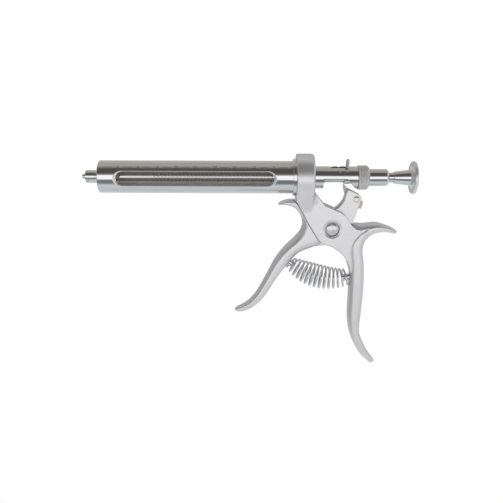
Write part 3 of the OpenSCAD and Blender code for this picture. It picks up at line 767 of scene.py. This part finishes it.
def bore_material():
    mat = metal("casing_bore_painted_glow", (0.80, 0.77, 0.74), (0.72, 0.69, 0.66), 0.45, 0.55,
                grain=0.1, grain_scale=2000)
    tree = mat.node_tree
    shader = tree.nodes["Principled BSDF"]
    split = node(tree, "ShaderNodeSeparateXYZ")
    wire(tree, node(tree, "ShaderNodeTexCoord").outputs["Object"], split.inputs["Vector"])
    # painted light: an emission colour by the angle round the axis stands in for light that comes in
    # through the window
    wire(tree, bands(tree, split, BORE_PAINTED_GLOW, 0.08, 0.08), shader.inputs["Emission Color"])
    shader.inputs["Emission Strength"].default_value = 0.8
    return mat


def glass_material():
    mat, tree, shader, where = start_material("glass")
    out = tree.nodes["Material Output"]
    clear = node(tree, "ShaderNodeBsdfTransparent", Color=(0.95, 0.95, 0.95, 1))
    gloss = node(tree, "ShaderNodeBsdfGlossy", Color=(1, 1, 1, 1))
    gloss.inputs["Roughness"].default_value = 0
    wire(tree, bump(tree, noise(tree, where, 40, 1), 0.02, 0.0002), gloss.inputs["Normal"])
    # only the side that a ray comes in by reflects
    facing = node(tree, "ShaderNodeMath", operation="SUBTRACT")
    facing.inputs[0].default_value = 1
    wire(tree, node(tree, "ShaderNodeNewGeometry").outputs["Backfacing"], facing.inputs[1])
    edge = node(tree, "ShaderNodeMath", operation="MULTIPLY")
    wire(tree, node(tree, "ShaderNodeFresnel", IOR=1.47).outputs["Fac"], edge.inputs[0])
    wire(tree, facing.outputs["Value"], edge.inputs[1])
    mix = node(tree, "ShaderNodeMixShader")
    wire(tree, edge.outputs["Value"], mix.inputs["Fac"])
    wire(tree, clear.outputs["BSDF"], mix.inputs[1])
    wire(tree, gloss.outputs["BSDF"], mix.inputs[2])
    wire(tree, mix.outputs["Shader"], out.inputs["Surface"])
    tree.nodes.remove(shader)
    return mat


def dull(name, light, dark, rough, grain, scale):
    mat, tree, shader, where = start_material(name)
    wire(tree, tint(tree, noise(tree, where, scale / 6, 4), dark, light), shader.inputs["Base Color"])
    wire(tree, remap(tree, noise(tree, where, scale / 3, 3), rough - 0.08, rough + 0.08),
         shader.inputs["Roughness"])
    wire(tree, bump(tree, noise(tree, where, scale, 3), grain, 0.0001), shader.inputs["Normal"])
    return mat


# tool lines: noise squeezed along X, so that it repeats round the axis
AROUND = (9000, 60, 60)
materials = {
    "satin_casting": lambda: metal("satin_casting", (0.885, 0.875, 0.885), (0.845, 0.835, 0.845),
                                   0.30, 0.36, waves=0.06),
    "polished_tube": lambda: metal("polished_tube", (0.87, 0.87, 0.87), (0.84, 0.84, 0.84),
                                   0, 0, waves=0.02, lines=AROUND, line_strength=0.02),
    "rod_steel": lambda: metal("rod_steel", (0.84, 0.84, 0.84), (0.78, 0.78, 0.78),
                               0, 0, waves=0.02, lines=AROUND, line_strength=0.04),
    # the bore's material glows with painted light
    "casing_bore_painted_glow": bore_material,
    "glass": glass_material,
    "seal_rubber": lambda: dull("seal_rubber", (0.035, 0.034, 0.033), (0.018, 0.018, 0.018),
                                0.6, 0.5, 3000),
    "bush_brass": lambda: metal("bush_brass", (0.72, 0.52, 0.26), (0.6, 0.42, 0.2),
                                0.2, 0.34, lines=AROUND, line_strength=0.2),
    "spring_steel": lambda: metal("spring_steel", (0.80, 0.80, 0.81), (0.72, 0.72, 0.73),
                                  0.02, 0.06, waves=0.02),
    "pawl_steel": lambda: metal("pawl_steel", (0.62, 0.59, 0.56), (0.46, 0.44, 0.42),
                                0.26, 0.42, grain=0.2, grain_scale=1500),
    "rivet_steel": lambda: metal("rivet_steel", (0.86, 0.82, 0.78), (0.74, 0.70, 0.66),
                                 0.14, 0.28, waves=0.2),
    "knurled_steel": lambda: metal("knurled_steel", (0.78, 0.77, 0.765), (0.66, 0.65, 0.645),
                                   0.26, 0.36, grain=0.1, grain_scale=1800),
    # milled faces: a rougher finish, and a dark base colour that is painted shade
    "milled_steel_painted_shade": lambda: metal("milled_steel_painted_shade", (0.36, 0.34, 0.32), (0.26, 0.245, 0.23),
                                  0.3, 0.42, grain=0.2, grain_scale=1500),
    "mark_bright": lambda: dull("mark_bright", (0.66, 0.65, 0.64), (0.55, 0.54, 0.53),
                                0.6, 0.2, 2500),
    "mark_paint": lambda: dull("mark_paint", (0.12, 0.116, 0.112), (0.09, 0.087, 0.084),
                               0.6, 0.2, 2500),
}


def material(name):
    if name not in made:
        made[name] = materials[name]()
    return made[name]


def paint(obj, name):
    obj.data.materials.clear()
    obj.data.materials.append(material(name))


def finish_faces(obj, look, chosen):
    """Gives the faces for which chosen(x, r) is true another finish; x and r in millimetres."""
    obj.data.materials.append(material(look))
    index = len(obj.data.materials) - 1
    for face in obj.data.polygons:
        x, y, z = np.array(face.center) / MM
        if chosen(x, math.hypot(y, z)):
            face.material_index = index


def place(obj, body, slot, *nodes):
    """Finishes a piece: material, body, record slot and the CAD nodes it stands for."""
    paint(obj, slot)
    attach(obj, body)
    if nodes:
        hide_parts(*nodes)
    return obj


# Barrel ------------------------------------------------------------------------------------

WINDOW_HALF = 5.75
WINDOW_BEVEL = 2.3
WINDOW_X = (13.0 + WINDOW_HALF + WINDOW_BEVEL, 147.4 - WINDOW_HALF - WINDOW_BEVEL)
CASING_WALL = 2.05
CASING_IN = CASING_R - CASING_WALL


def stadium(x0, x1, half, steps=28):
    """Outline of a slot with round ends, as (x, z) points."""
    a = np.radians(np.linspace(90, 270, steps + 1))
    left = np.stack([x0 + half * np.cos(a), half * np.sin(a)], 1)
    right = np.stack([x1 - half * np.cos(a), -half * np.sin(a)], 1)
    return np.concatenate([left, right])


def build_barrel():
    corners = [(0, 4.95, 0.1), (0, CASING_R, 0.9), (CASING_END, CASING_R, 0.2),
               (CASING_END, CASING_IN, 0.2), (2.4, CASING_IN, 0.3), (2.4, 4.95, 0.1)]
    loop = [(1.2, 4.95)] + corners + [(1.2, 4.95)]
    casing, entries = turned("barrel_casing_tube", loop, 224, closed=True)
    rings = []
    for y, grow in ((-CASING_IN + 3.2, 0), (-CASING_IN, 0), (-CASING_R - 1, 1)):
        extra = grow * WINDOW_BEVEL * (CASING_WALL + 1) / CASING_WALL
        flat = stadium(*WINDOW_X, WINDOW_HALF + extra)
        rings.append(np.stack([flat[:, 0], np.full(len(flat), y), flat[:, 1]], 1))
    subtract(casing, loft("window_cutter", rings))
    recut_normals(casing, entries)
    place(casing, "frame", "polished_tube", "barrel_casing")
    bore, skin_r = CASING_IN + 0.01, CASING_R - 0.05
    # the bore faces glow with painted light, in place of light that comes in through the window
    finish_faces(casing, "casing_bore_painted_glow", lambda x, r: x > 2 and r < bore)
    finish_faces(casing, "satin_casting", lambda x, r: x > 2 and bore <= r < skin_r)

    g0, g1, gr = glass_lo[0], glass_hi[0], glass_hi[2]
    glass, _ = turned("measuring_glass", [(g0, BORE_R + 0.5), (g0, gr, 0.3), (g1, gr, 0.3),
                                          (g1, BORE_R, 0.3), (g0, BORE_R, 0.3),
                                          (g0, BORE_R + 0.5)], 160, closed=True)
    place(glass, "frame", "glass", "glass_cylinder")
    # light reaches the rod without going through the walls of the glass again
    glass.visible_shadow = glass.visible_glossy = glass.visible_diffuse = False

    r = lock_hi[2]
    x0, x1 = lock_lo[0], lock_hi[0]
    lock, _ = turned("barrel_lock_ring_turned", [
        (x0, CASING_R + 0.7), (x0, r, 0.5), (x1, r, 0.15), (x1, CASING_R + 0.03, 0.1),
        (x0, CASING_R + 0.03, 0.2), (x0, CASING_R + 0.7)], 200, closed=True)
    place(lock, "frame", "polished_tube", "barrel_lock_ring")


def build_hub():
    x0 = hub_lo[0]
    face = x0 + 2.9
    r = hub_hi[2]
    well = face + 7.5
    base_r = 1.96 + 0.03 * (well - x0)
    hub, entries = turned("needle_hub_turned", [
        (x0, 0.8, 0), (x0, 1.96, 0.15), (well, base_r, 0.15), (well, 3.95, 0.1), (face, 3.95, 0.25),
        (face, r, 0.9), (-3.6, r, 0.15), (-3.3, r - 0.45, 0.15), (-2.9, r - 0.45, 0.15),
        (-2.6, r, 0.15), (-0.05, r, 0.2), (-0.05, 4.9, 0), (2.35, 4.9, 0.1), (2.35, 0.8, 0),
        (x0, 0.8, 0)], 144, closed=True)
    cutters = []
    for deg in (-38, 142):
        a = math.radians(deg)
        turn = Matrix.Rotation(-a, 4, "X")
        for x_from, x_to, z_from, z_to in ((face - 1, face + 3.2, -0.8, 0.8),
                                           (face + 1.5, face + 3.2, -0.8, 2.0)):
            ring = [(x_from, z_from), (x_to, z_from), (x_to, z_to), (x_from, z_to)]
            rings = [[(x, y, z) for x, z in ring] for y in (-r - 1, -r + 1.9)]
            box = loft("hub_cutter", np.array(rings, float))
            box.data.transform(turn)
            cutters.append(box)
    subtract(hub, *cutters)
    recut_normals(hub, entries)
    place(hub, "frame", "polished_tube", "luer_hub")


# Rod, piston and knob ----------------------------------------------------------------------


def build_rod():
    shank, tooth = 4.1, rod_hi[2]
    x0 = rod_lo[0]
    x_face = 12.15
    corners = [(x0, 0), (x0, 2.5, 0.2), (x_face, 2.5, 0), (x_face, shank, 0.3), (TEETH_X0, shank, 0.1)]
    for i in range(TEETH):
        x = TEETH_X0 + i * PITCH
        corners += [(x, shank - 0.35, 0.12), (x + PITCH * 0.62, tooth, 0.25),
                    (x + PITCH * 0.86, tooth, 0.2)]
    end = TEETH_X0 + TEETH * PITCH
    corners += [(end, shank - 0.35, 0.1), (end + 0.4, shank, 0.1), (knob_lo[0], shank, 0.1),
                (knob_lo[0], 3.0, 0), (rod_hi[0], 3.0, 0.2), (rod_hi[0], 0)]
    rod, _ = turned("toothed_rod_turned", corners, 128, 3)
    place(rod, "rod", "rod_steel", "toothed_rod")


def build_knob():
    x0, x1, r = knob_lo[0], knob_hi[0], knob_hi[2]
    disc = x1 - 3
    knob, _ = turned("thumb_knob_turned", [
        (x0, 3.1), (x0, 4.9, 0.5), (disc - 2, 6.6, 3.0), (disc - 0.3, 8.3, 1.5), (disc, 9.2, 0.6),
        (disc, r, 1.1), (x1, r, 1.1), (x1, 3.6, 0.3), (x1 - 1.6, 3.5, 0), (x1 - 1.6, 3.02, 0),
        (x0, 3.02, 0.1), (x0, 3.1)], 176, 6, closed=True)
    place(knob, "rod", "polished_tube", "thumb_knob")
    finish_faces(knob, "satin_casting", lambda x, r: x > disc - 0.1)


# Guide tube and dose setting ---------------------------------------------------------------


def away_from_axis(deg):
    """Direction away from the barrel's axis; 0 is the near side and 90 is up."""
    a = math.radians(deg)
    return np.array([0, -math.cos(a), math.sin(a)])


def aim(obj, direction, x, y, z):
    """Turns a piece that was made along X and moves it to a place in millimetres."""
    turn = Vector((1, 0, 0)).rotation_difference(Vector(direction))
    obj.matrix_world = Matrix.Translation(np.array([x, y, z]) * MM) @ turn.to_matrix().to_4x4()


def radial_block(name, outline, r0, r1, deg):
    """Prism whose outline lies in the plane of X and the turning direction, pointing out at deg."""
    out = away_from_axis(deg)
    side = away_from_axis(90 - deg) * [0, -1, 1]
    rings = [np.array([(x, 0, 0) for x, _ in outline]) + out * r
             + np.outer([s for _, s in outline], side) for r in (r0, r1)]
    return loft(name, rings)


def ring_block(name, x0, x1, r0, r1, degs):
    """Part of a ring through a row of angles."""
    rings = []
    for deg in degs:
        out = away_from_axis(deg)
        rings.append(np.array([[x, 0, 0] + out * r for x, r in ((x0, r0), (x0, r1), (x1, r1), (x1, r0))]))
    return loft(name, rings)


def build_guide_tube():
    flange0, flange1 = tube_lo[0], tube_lo[0] + 3.3
    spigot_x0, spigot_x1 = 214.5, tube_hi[0]
    mill_x0 = 186.0
    tube, entries = turned("guide_tube_turned", [
        (flange0, 8), (flange0, tube_hi[2], 0.2), (flange1, tube_hi[2], 0.2), (flange1, TUBE_R, 0.1),
        (spigot_x0, TUBE_R, 0.5), (spigot_x0, 8.3, 0.1), (spigot_x1, 8.3, 0.2),
        (spigot_x1, SLEEVE_R + 0.05, 0.2), (mill_x0, SLEEVE_R + 0.05, 0), (mill_x0, 6.0, 0),
        (flange0, 6.0, 0.1), (flange0, 8)], 192, closed=True)
    half = 1.55
    x_end = PIN_X - 2 * DOSE_STEP
    slot = radial_block("slot_cutter", stadium(x_end, PIN_X, half, 10), 6, 11, SLOT_DEG)
    cutters = [slot]
    for i in range(3):
        x = PIN_X - i * DOSE_STEP
        cutters.append(ring_block("notch_cutter", x - half, x + half, 6, 11,
                                  np.linspace(SLOT_DEG, SLOT_DEG + NOTCH_TURN, 13)))
        cutters.append(radial_block("notch_end", stadium(x, x, half, 10), 6, 11,
                                    SLOT_DEG + NOTCH_TURN))
    floor = [(mill_x0, 0), (205.5, 0), (213.9, -9.4), (213.9, -12), (mill_x0, -12)]
    rings = [[(x, y, z) for x, z in floor] for y in (-12, 12)]
    cutters.append(loft("mill_cutter", np.array(rings, float)))
    for cutter in cutters:
        subtract(tube, cutter)
    recut_normals(tube, entries)
    place(tube, "frame", "polished_tube", "guide_tube")
    # the milled and slotted faces are duller than the turned skin, and their dark base colour is painted
    # shade
    finish_faces(tube, "milled_steel_painted_shade",
                 lambda x, r: mill_x0 - 0.5 < x < spigot_x0 - 0.2 and r < TUBE_R - 0.2)


def build_sleeve():
    x0, x1 = sleeve_lo[0], sleeve_hi[0]
    nose_x1 = x0 + 16
    sleeve, entries = turned("dose_sleeve_turned", [
        (x0, 5.0), (x0, 5.3, 0), (x0 + 0.3, SLEEVE_R - 0.9, 0), (x0 + 0.7, SLEEVE_R, 0.3),
        (x1 - 2.2, SLEEVE_R, 1.5), (x1 - 0.5, SLEEVE_R - 1.0, 0.8), (x1, SLEEVE_R - 2.1, 0.2),
        (x1, 4.7, 0.15), (x0, 4.7, 0.1), (x0, 5.0)], 176, closed=True)
    turn_room = 60
    shield = ring_block("shield_cutter", x0 - 1, nose_x1, 5.3, 9,
                        np.linspace(-90 - turn_room, -90 + turn_room, 25))
    key = loft("key_cutter", np.array([
        [(220.8, SLEEVE_R - 0.85, z), (238.2, SLEEVE_R - 0.85, z), (238.2, SLEEVE_R + 2, z),
         (220.8, SLEEVE_R + 2, z)] for z in (-0.65, 0.65)]))
    hole = radial_block("hole_cutter", stadium(PIN_X, PIN_X, 1.52, 12), 3, 9, SLOT_DEG)
    for cutter in (shield, key, hole):
        subtract(sleeve, cutter)
    recut_normals(sleeve, entries)
    place(sleeve, "dose_sleeve", "polished_tube", "dose_sleeve")

    foot, pin_r = 4.9, 1.5
    pin, _ = turned("dose_pin_turned", [(foot, 0), (foot, pin_r, 0.1), (PIN_REACH, pin_r, 0.45),
                                        (PIN_REACH, 0)], 64)
    aim(pin, away_from_axis(SLOT_DEG), PIN_X, 0, 0)
    place(pin, "dose_sleeve", "polished_tube", "dose_pin")


def build_collar():
    """Collar with a diamond knurl cut into its rim."""
    x0, x1, r = collar_lo[0], collar_hi[0], collar_hi[2]
    knurl_x0, knurl_x1 = x0 + 0.5, x1 - 2.1
    diamonds = 48
    size = 2 * math.pi * r / diamonds
    depth = 0.34
    segments = diamonds * 8
    rows = int((knurl_x1 - knurl_x0) / size * 9)
    band = [(knurl_x0 + (knurl_x1 - knurl_x0) * i / rows, r) for i in range(rows + 1)]
    in_r, clip_r = 8.35, 9.0
    profile = ([(x0, in_r), (x0, r - 0.75), (x0 + 0.25, r - 0.2)] + band
               + [(x1 - 1.6, r - 0.35), (x1 - 0.2, r - 1.75), (x1, r - 2.1), (x1, SLEEVE_R + 0.05),
                  (220.4, SLEEVE_R + 0.05), (220.4, clip_r), (218.2, clip_r), (218.2, in_r)])
    points, faces = [], []
    angle = 2 * math.pi * np.arange(segments) / segments
    for x, base in profile:
        radius = np.full(segments, base, float)
        if knurl_x0 <= x <= knurl_x1 and base == r:
            u = angle * r / size + (x - knurl_x0) / size
            v = angle * r / size - (x - knurl_x0) / size
            ridge = np.minimum(2 * np.abs(u % 1 - 0.5), 2 * np.abs(v % 1 - 0.5))
            fade = min(1, (x - knurl_x0) / 0.3, (knurl_x1 - x) / 0.3)
            radius -= depth * (1 - np.minimum(ridge * 1.5, 1)) * max(fade, 0.2)
        points.append(np.stack([np.full(segments, x), radius * np.sin(angle),
                                radius * np.cos(angle)], 1))
    n = len(profile)
    for i in range(n):
        j = (i + 1) % n
        for k in range(segments):
            m = (k + 1) % segments
            faces.append([i * segments + k, j * segments + k, j * segments + m, i * segments + m])
    collar = new_object("knurled_collar_cut", np.concatenate(points), faces)
    collar.data.set_sharp_from_angle(angle=math.radians(40))
    place(collar, "dose_collar", "knurled_steel", "knurled_collar")


# Pivot screw and nut -----------------------------------------------------------------------


def build_screw(name, node_name, tilt, side):
    """Domed head with a sawn slot; side -1 is the near cheek."""
    head_r, half_slot = 5.3, 0.75
    corners = [(-SCREW_SEAT - 0.5, 0), (-SCREW_SEAT - 0.5, 3.0), (0, 3.0), (0, head_r, 0.15),
               (1.3, head_r, 0.9)]
    for a in (20, 35, 50, 65, 80):
        corners.append((1.5 + 1.5 * math.sin(math.radians(a)),
                        head_r * math.cos(math.radians(a * 0.98)), 3))
    corners += [(3.0, 0.5, 1), (3.0, 0)]
    head, entries = turned(name, corners, 128, 3)
    ring = [(2.1, -half_slot), (5, -half_slot), (5, half_slot), (2.1, half_slot)]
    rings = [[(x, s * 9, z) for x, z in ring] for s in (-1, 1)]
    cutter = loft("slot_cutter", np.array(rings, float))
    cutter.data.transform(Matrix.Rotation(math.radians(tilt), 4, "X"))
    subtract(head, cutter)
    recut_normals(head, entries)
    aim(head, (0, side, 0), PIVOT_X, side * (SCREW_SEAT + 0.05), PIVOT_Z)
    place(head, "frame", "spring_steel", node_name)


# Handle spring -----------------------------------------------------------------------------


def build_spring():
    """Barrel-shaped coil on a bent axis between the two pegs."""
    front = sum(span("front_spring_peg")) / 2
    rear = sum(span("rear_spring_peg")) / 2
    a, b = front[[0, 2]], rear[[0, 2]]
    bend_r, coils, wire_d, front_d, rear_d, mid_d = 62, 14, 1.6, 10.8, 14.6, 21
    chord = b - a
    length = np.linalg.norm(chord)
    rise = math.sqrt(bend_r**2 - (length / 2) ** 2)
    centre = (a + b) / 2 + rise / length * np.array([-chord[1], chord[0]])
    half = math.asin(length / 2 / bend_r)
    middle = math.radians(270) + math.atan2(chord[1], chord[0])
    per_coil, sides = ((56, 14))
    t = np.linspace(0, 1, coils * per_coil + 1)

    def axis(t):
        ang = middle + half * (2 * t - 1)
        out = np.stack([np.cos(ang), 0 * ang, np.sin(ang)], 1)
        return np.array([centre[0], 0, centre[1]]) + bend_r * out, out

    def path(t):
        at, out = axis(t)
        end_d = front_d + (rear_d - front_d) * t
        r = (end_d + (mid_d - end_d) * np.maximum(np.sin(np.pi * t), 0) ** 0.8 - wire_d) / 2
        turn = 2 * np.pi * coils * t
        return at + r[:, None] * (np.cos(turn)[:, None] * out + np.sin(turn)[:, None] * [0, 1, 0])

    p = path(t)
    ahead = path(t + 1e-4) - path(t - 1e-4)
    ahead /= np.linalg.norm(ahead, axis=1)[:, None]
    out = p - axis(t)[0]
    out -= (out * ahead).sum(1)[:, None] * ahead
    out /= np.linalg.norm(out, axis=1)[:, None]
    side = np.cross(ahead, out)
    rings = []
    for k in range(sides):
        w = 2 * math.pi * k / sides
        rings.append(p + wire_d / 2 * (math.cos(w) * out + math.sin(w) * side))
    rings = np.stack(rings, 1)
    spring = new_object("handle_spring_coil", rings.reshape(-1, 3), skin(len(t), sides))
    paint(spring, "spring_steel")
    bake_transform(spring)
    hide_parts("handle_spring")


# Engraved scale ----------------------------------------------------------------------------

DIGITS = {
    "0": [[(0.5, 1), (0.15, 0.85), (0, 0.5), (0.15, 0.15), (0.5, 0), (0.85, 0.15), (1, 0.5),
           (0.85, 0.85), (0.5, 1)]],
    "1": [[(0.2, 0.8), (0.55, 1), (0.55, 0)]],
    "2": [[(0.05, 0.8), (0.4, 1), (0.9, 0.85), (0.85, 0.55), (0, 0), (1, 0)]],
    "3": [[(0.05, 0.9), (0.5, 1), (0.9, 0.78), (0.5, 0.54), (1, 0.27), (0.5, 0), (0, 0.12)]],
    "4": [[(0.75, 0), (0.75, 1), (0, 0.3), (1, 0.3)]],
    "5": [[(0.9, 1), (0.15, 1), (0.1, 0.55), (0.6, 0.62), (1, 0.32), (0.55, 0), (0, 0.1)]],
}


def digit_strokes(text, x, height, width, space):
    """Strokes of a number centred on x, as lists of (x, s) with s up the surface."""
    total = len(text) * width + (len(text) - 1) * space
    strokes = []
    for i, char in enumerate(text):
        left = x - total / 2 + i * (width + space)
        for line in DIGITS[char]:
            strokes.append([(left + u * width, (v - 0.5) * height) for u, v in line])
    return strokes


MARK_DEPTH = 0.06
MARK_PROUD = 0.012


def engrave(name, strokes, radius, deg, width, look):
    """Thin closed strips that lie in a turned surface, centred on an angle above the horizontal."""
    points, faces = [], []
    centre = math.radians(deg)
    for line in strokes:
        for (xa, sa), (xb, sb) in zip(line[:-1], line[1:]):
            d = np.array([xb - xa, sb - sa], float)
            size = np.linalg.norm(d)
            d /= size
            side = np.array([-d[1], d[0]]) * width / 2
            ends = [np.array([xa, sa]) - d * width * 0.4, np.array([xb, sb]) + d * width * 0.4]
            first = len(points)
            for e in ends:
                for k in (-1, 1):
                    for r in (radius + MARK_PROUD, radius - MARK_DEPTH):
                        x, s = e + k * side
                        a = centre + s / radius
                        points.append((x, -r * math.cos(a), r * math.sin(a)))
            f = [(0, 1, 3, 2), (4, 6, 7, 5), (0, 2, 6, 4), (1, 5, 7, 3), (0, 4, 5, 1), (2, 3, 7, 6)]
            faces += [[first + i for i in q[::-1]] for q in f]
    obj = new_object(name, points, faces)
    obj.data.shade_flat()
    place(obj, "frame", "polished_tube")
    paint(obj, look)


def build_scale():
    """A number at every 5 ml of the casing, dashes between them, and the doses by the slot."""
    zero, dash = 1.0, 3.6
    numbers, dashes = [], []
    for ml in range(5, 51, 5):
        x = zero + ml * PITCH
        numbers += digit_strokes(str(ml), x, 2.1, 1.3, 0.5)
        mid = x - 2.5 * PITCH
        dashes.append([(mid - dash, 0), (mid + dash, 0)])
    engrave("volume_scale_marks", numbers + dashes, CASING_R, 43, 0.34, "mark_paint")
    doses = []
    for i, text in enumerate(("5", "3", "1")):
        x = PIN_X - i * DOSE_STEP
        doses += digit_strokes(text, x, 2.4, 1.6, 0.4)
    engrave("dose_marks", doses, TUBE_R, 41, 0.4, "mark_bright")


# CAD nodes that stay -----------------------------------------------------------------------

kept = {
    "front_seal": "seal_rubber", "rear_seal": "seal_rubber", "piston_seal": "seal_rubber",
    "rod_guide_bush": "bush_brass", "pivot_bush": "bush_brass",
    "collar_clip": "spring_steel", "pawl_spring": "spring_steel", "pivot_washers": "spring_steel",
    "rear_spring_peg": "rod_steel", "front_spring_peg": "rod_steel",
    "piston_cap": "rod_steel", "piston_body": "rod_steel", "piston_nut": "rod_steel",
    "knob_screw": "rod_steel", "pawl": "pawl_steel", "pawl_rivet": "rivet_steel",
}


def dress_kept():
    for name, look in kept.items():
        obj = frame["nodes"][name]
        paint(obj, look)
        obj.data.shade_smooth()
        obj.data.set_sharp_from_angle(angle=math.radians(32))


# Stage -------------------------------------------------------------------------------------

# Light by the angle round the barrel's axis: degrees above the level of the near side, strength.
# Mirror-like surfaces see MIRROR_BANDS and rough ones SOFT_BANDS.
MIRROR_BANDS = [
    (-180, 0.60), (-128, 0.67), (-110, 0.58), (-78, 0.60), (-69, 0.63), (-60, 0.67), (-52, 0.58),
    (-44, 0.34), (-36, 0.20), (-28, 0.185), (-21, 0.21), (-15, 0.30), (-10, 1.06), (15, 1.06),
    (20, 0.31), (29, 0.12), (36, 0.085), (59, 0.08), (67, 0.105), (75, 0.21), (84, 0.35),
    (93, 0.38), (114, 0.37), (127, 0.42), (143, 0.46), (170, 0.60), (180, 0.60),
]
SOFT_BANDS = [
    (-180, 0.42), (-150, 0.52), (-120, 0.68), (-60, 0.68), (-40, 0.63), (-28, 0.60), (-20, 0.66),
    (-15, 0.80), (-10, 1.0), (6, 1.0), (14, 0.5), (24, 0.24), (40, 0.19), (75, 0.24),
    (90, 0.46), (105, 0.54), (130, 0.46), (180, 0.42),
]


# sockets of a colour mix: factor, first and second colour, and the result
MIX_FACTOR, MIX_A, MIX_B, MIX_OUT = 0, 6, 7, 2


def mix_colours(tree, factor, a, b):
    """A colour mix; a and b are sockets or fixed colours."""
    n = node(tree, "ShaderNodeMix", data_type="RGBA")
    wire(tree, factor, n.inputs[MIX_FACTOR])
    for socket, value in ((n.inputs[MIX_A], a), (n.inputs[MIX_B], b)):
        if isinstance(value, tuple):
            socket.default_value = value
        else:
            wire(tree, value, socket)
    return n.outputs[MIX_OUT]


def build_world():
    """Soft studio: bands of light by the angle round the barrel's axis, seen only in reflections."""
    world = bpy.data.worlds.new("studio")
    bpy.context.scene.world = world
    world.use_nodes = True
    tree = world.node_tree
    tree.nodes.clear()
    out = node(tree, "ShaderNodeOutputWorld")
    split = node(tree, "ShaderNodeSeparateXYZ")
    wire(tree, node(tree, "ShaderNodeTexCoord").outputs["Generated"], split.inputs["Vector"])
    seen = node(tree, "ShaderNodeLightPath")
    soft = bands(tree, split, SOFT_BANDS, 0.01, -0.015)
    mirror = bands(tree, split, MIRROR_BANDS, 0.06, -0.06)
    round_axis = mix_colours(tree, seen.outputs["Is Singular Ray"], soft, mirror)
    # towards the two ends of the barrel the bands give way to an even light
    side = node(tree, "ShaderNodeMath", operation="ABSOLUTE")
    wire(tree, split.outputs["X"], side.inputs[0])
    even = node(tree, "ShaderNodeMapRange")
    even.interpolation_type = "SMOOTHSTEP"
    even.inputs["From Min"].default_value = 0.55
    even.inputs["From Max"].default_value = 0.95
    wire(tree, side.outputs["Value"], even.inputs["Value"])
    front_or_rear = remap(tree, split.outputs["X"], 0, 1, -0.3, 0.3)
    ends = mix_colours(tree, front_or_rear, (0.36, 0.36, 0.365, 1), (0.62, 0.62, 0.63, 1))
    lit = node(tree, "ShaderNodeBackground")
    wire(tree, mix_colours(tree, even.outputs["Result"], round_axis, ends), lit.inputs["Color"])
    plain = node(tree, "ShaderNodeBackground", Color=(1, 1, 1, 1))
    pick = node(tree, "ShaderNodeMixShader")
    wire(tree, seen.outputs["Is Camera Ray"], pick.inputs["Fac"])
    wire(tree, lit.outputs["Background"], pick.inputs[1])
    wire(tree, plain.outputs["Background"], pick.inputs[2])
    wire(tree, pick.outputs["Shader"], out.inputs["Surface"])


def build_floor():
    """Plain white floor; reflections take their light from the studio instead."""
    z = cad_box[0].z / MM - 0.5
    floor = new_object("floor", [(-4000, -4000, z), (4000, -4000, z), (4000, 4000, z),
                                 (-4000, 4000, z)], [(0, 1, 2, 3)])
    mat = bpy.data.materials.new("floor_white")
    mat.use_nodes = True
    tree = mat.node_tree
    tree.nodes.clear()
    out = node(tree, "ShaderNodeOutputMaterial")
    glow = node(tree, "ShaderNodeEmission", Color=(1, 1, 1, 1))
    wire(tree, glow.outputs["Emission"], out.inputs["Surface"])
    floor.data.materials.append(mat)
    floor.visible_glossy = False
    floor.visible_diffuse = False
    floor.visible_transmission = False
    floor.visible_shadow = False


def build_camera():
    """On the near side, a little above, looking down at the middle of the object."""
    target = Vector((0.12667, 0, -0.0642))
    distance, pitch, roll = 0.5254, math.radians(14.5), math.radians(0.22)
    back = Vector((0, -math.cos(pitch), math.sin(pitch)))
    data = bpy.data.cameras.new("camera")
    data.lens = 43.66
    data.sensor_width = 36
    data.clip_start, data.clip_end = 0.05, 20
    camera = bpy.data.objects.new("camera", data)
    camera.location = target + back * distance
    camera.rotation_mode = "QUATERNION"
    camera.rotation_quaternion = (-back).to_track_quat("-Z", "Y") @ Quaternion((0, 0, 1), roll)
    bpy.context.scene.collection.objects.link(camera)
    bpy.context.scene.camera = camera


bpy.context.scene.view_settings.view_transform = "Standard"
build_world()
build_floor()
build_camera()
build_handle()
build_lever()
build_barrel()
build_hub()
build_rod()
build_knob()
build_guide_tube()
build_sleeve()
build_collar()
build_screw("pivot_screw_head", "pivot_screw", 90 + 9, -1)
build_screw("pivot_nut_head", "pivot_nut", 90, 1)
build_spring()
build_scale()
dress_kept()
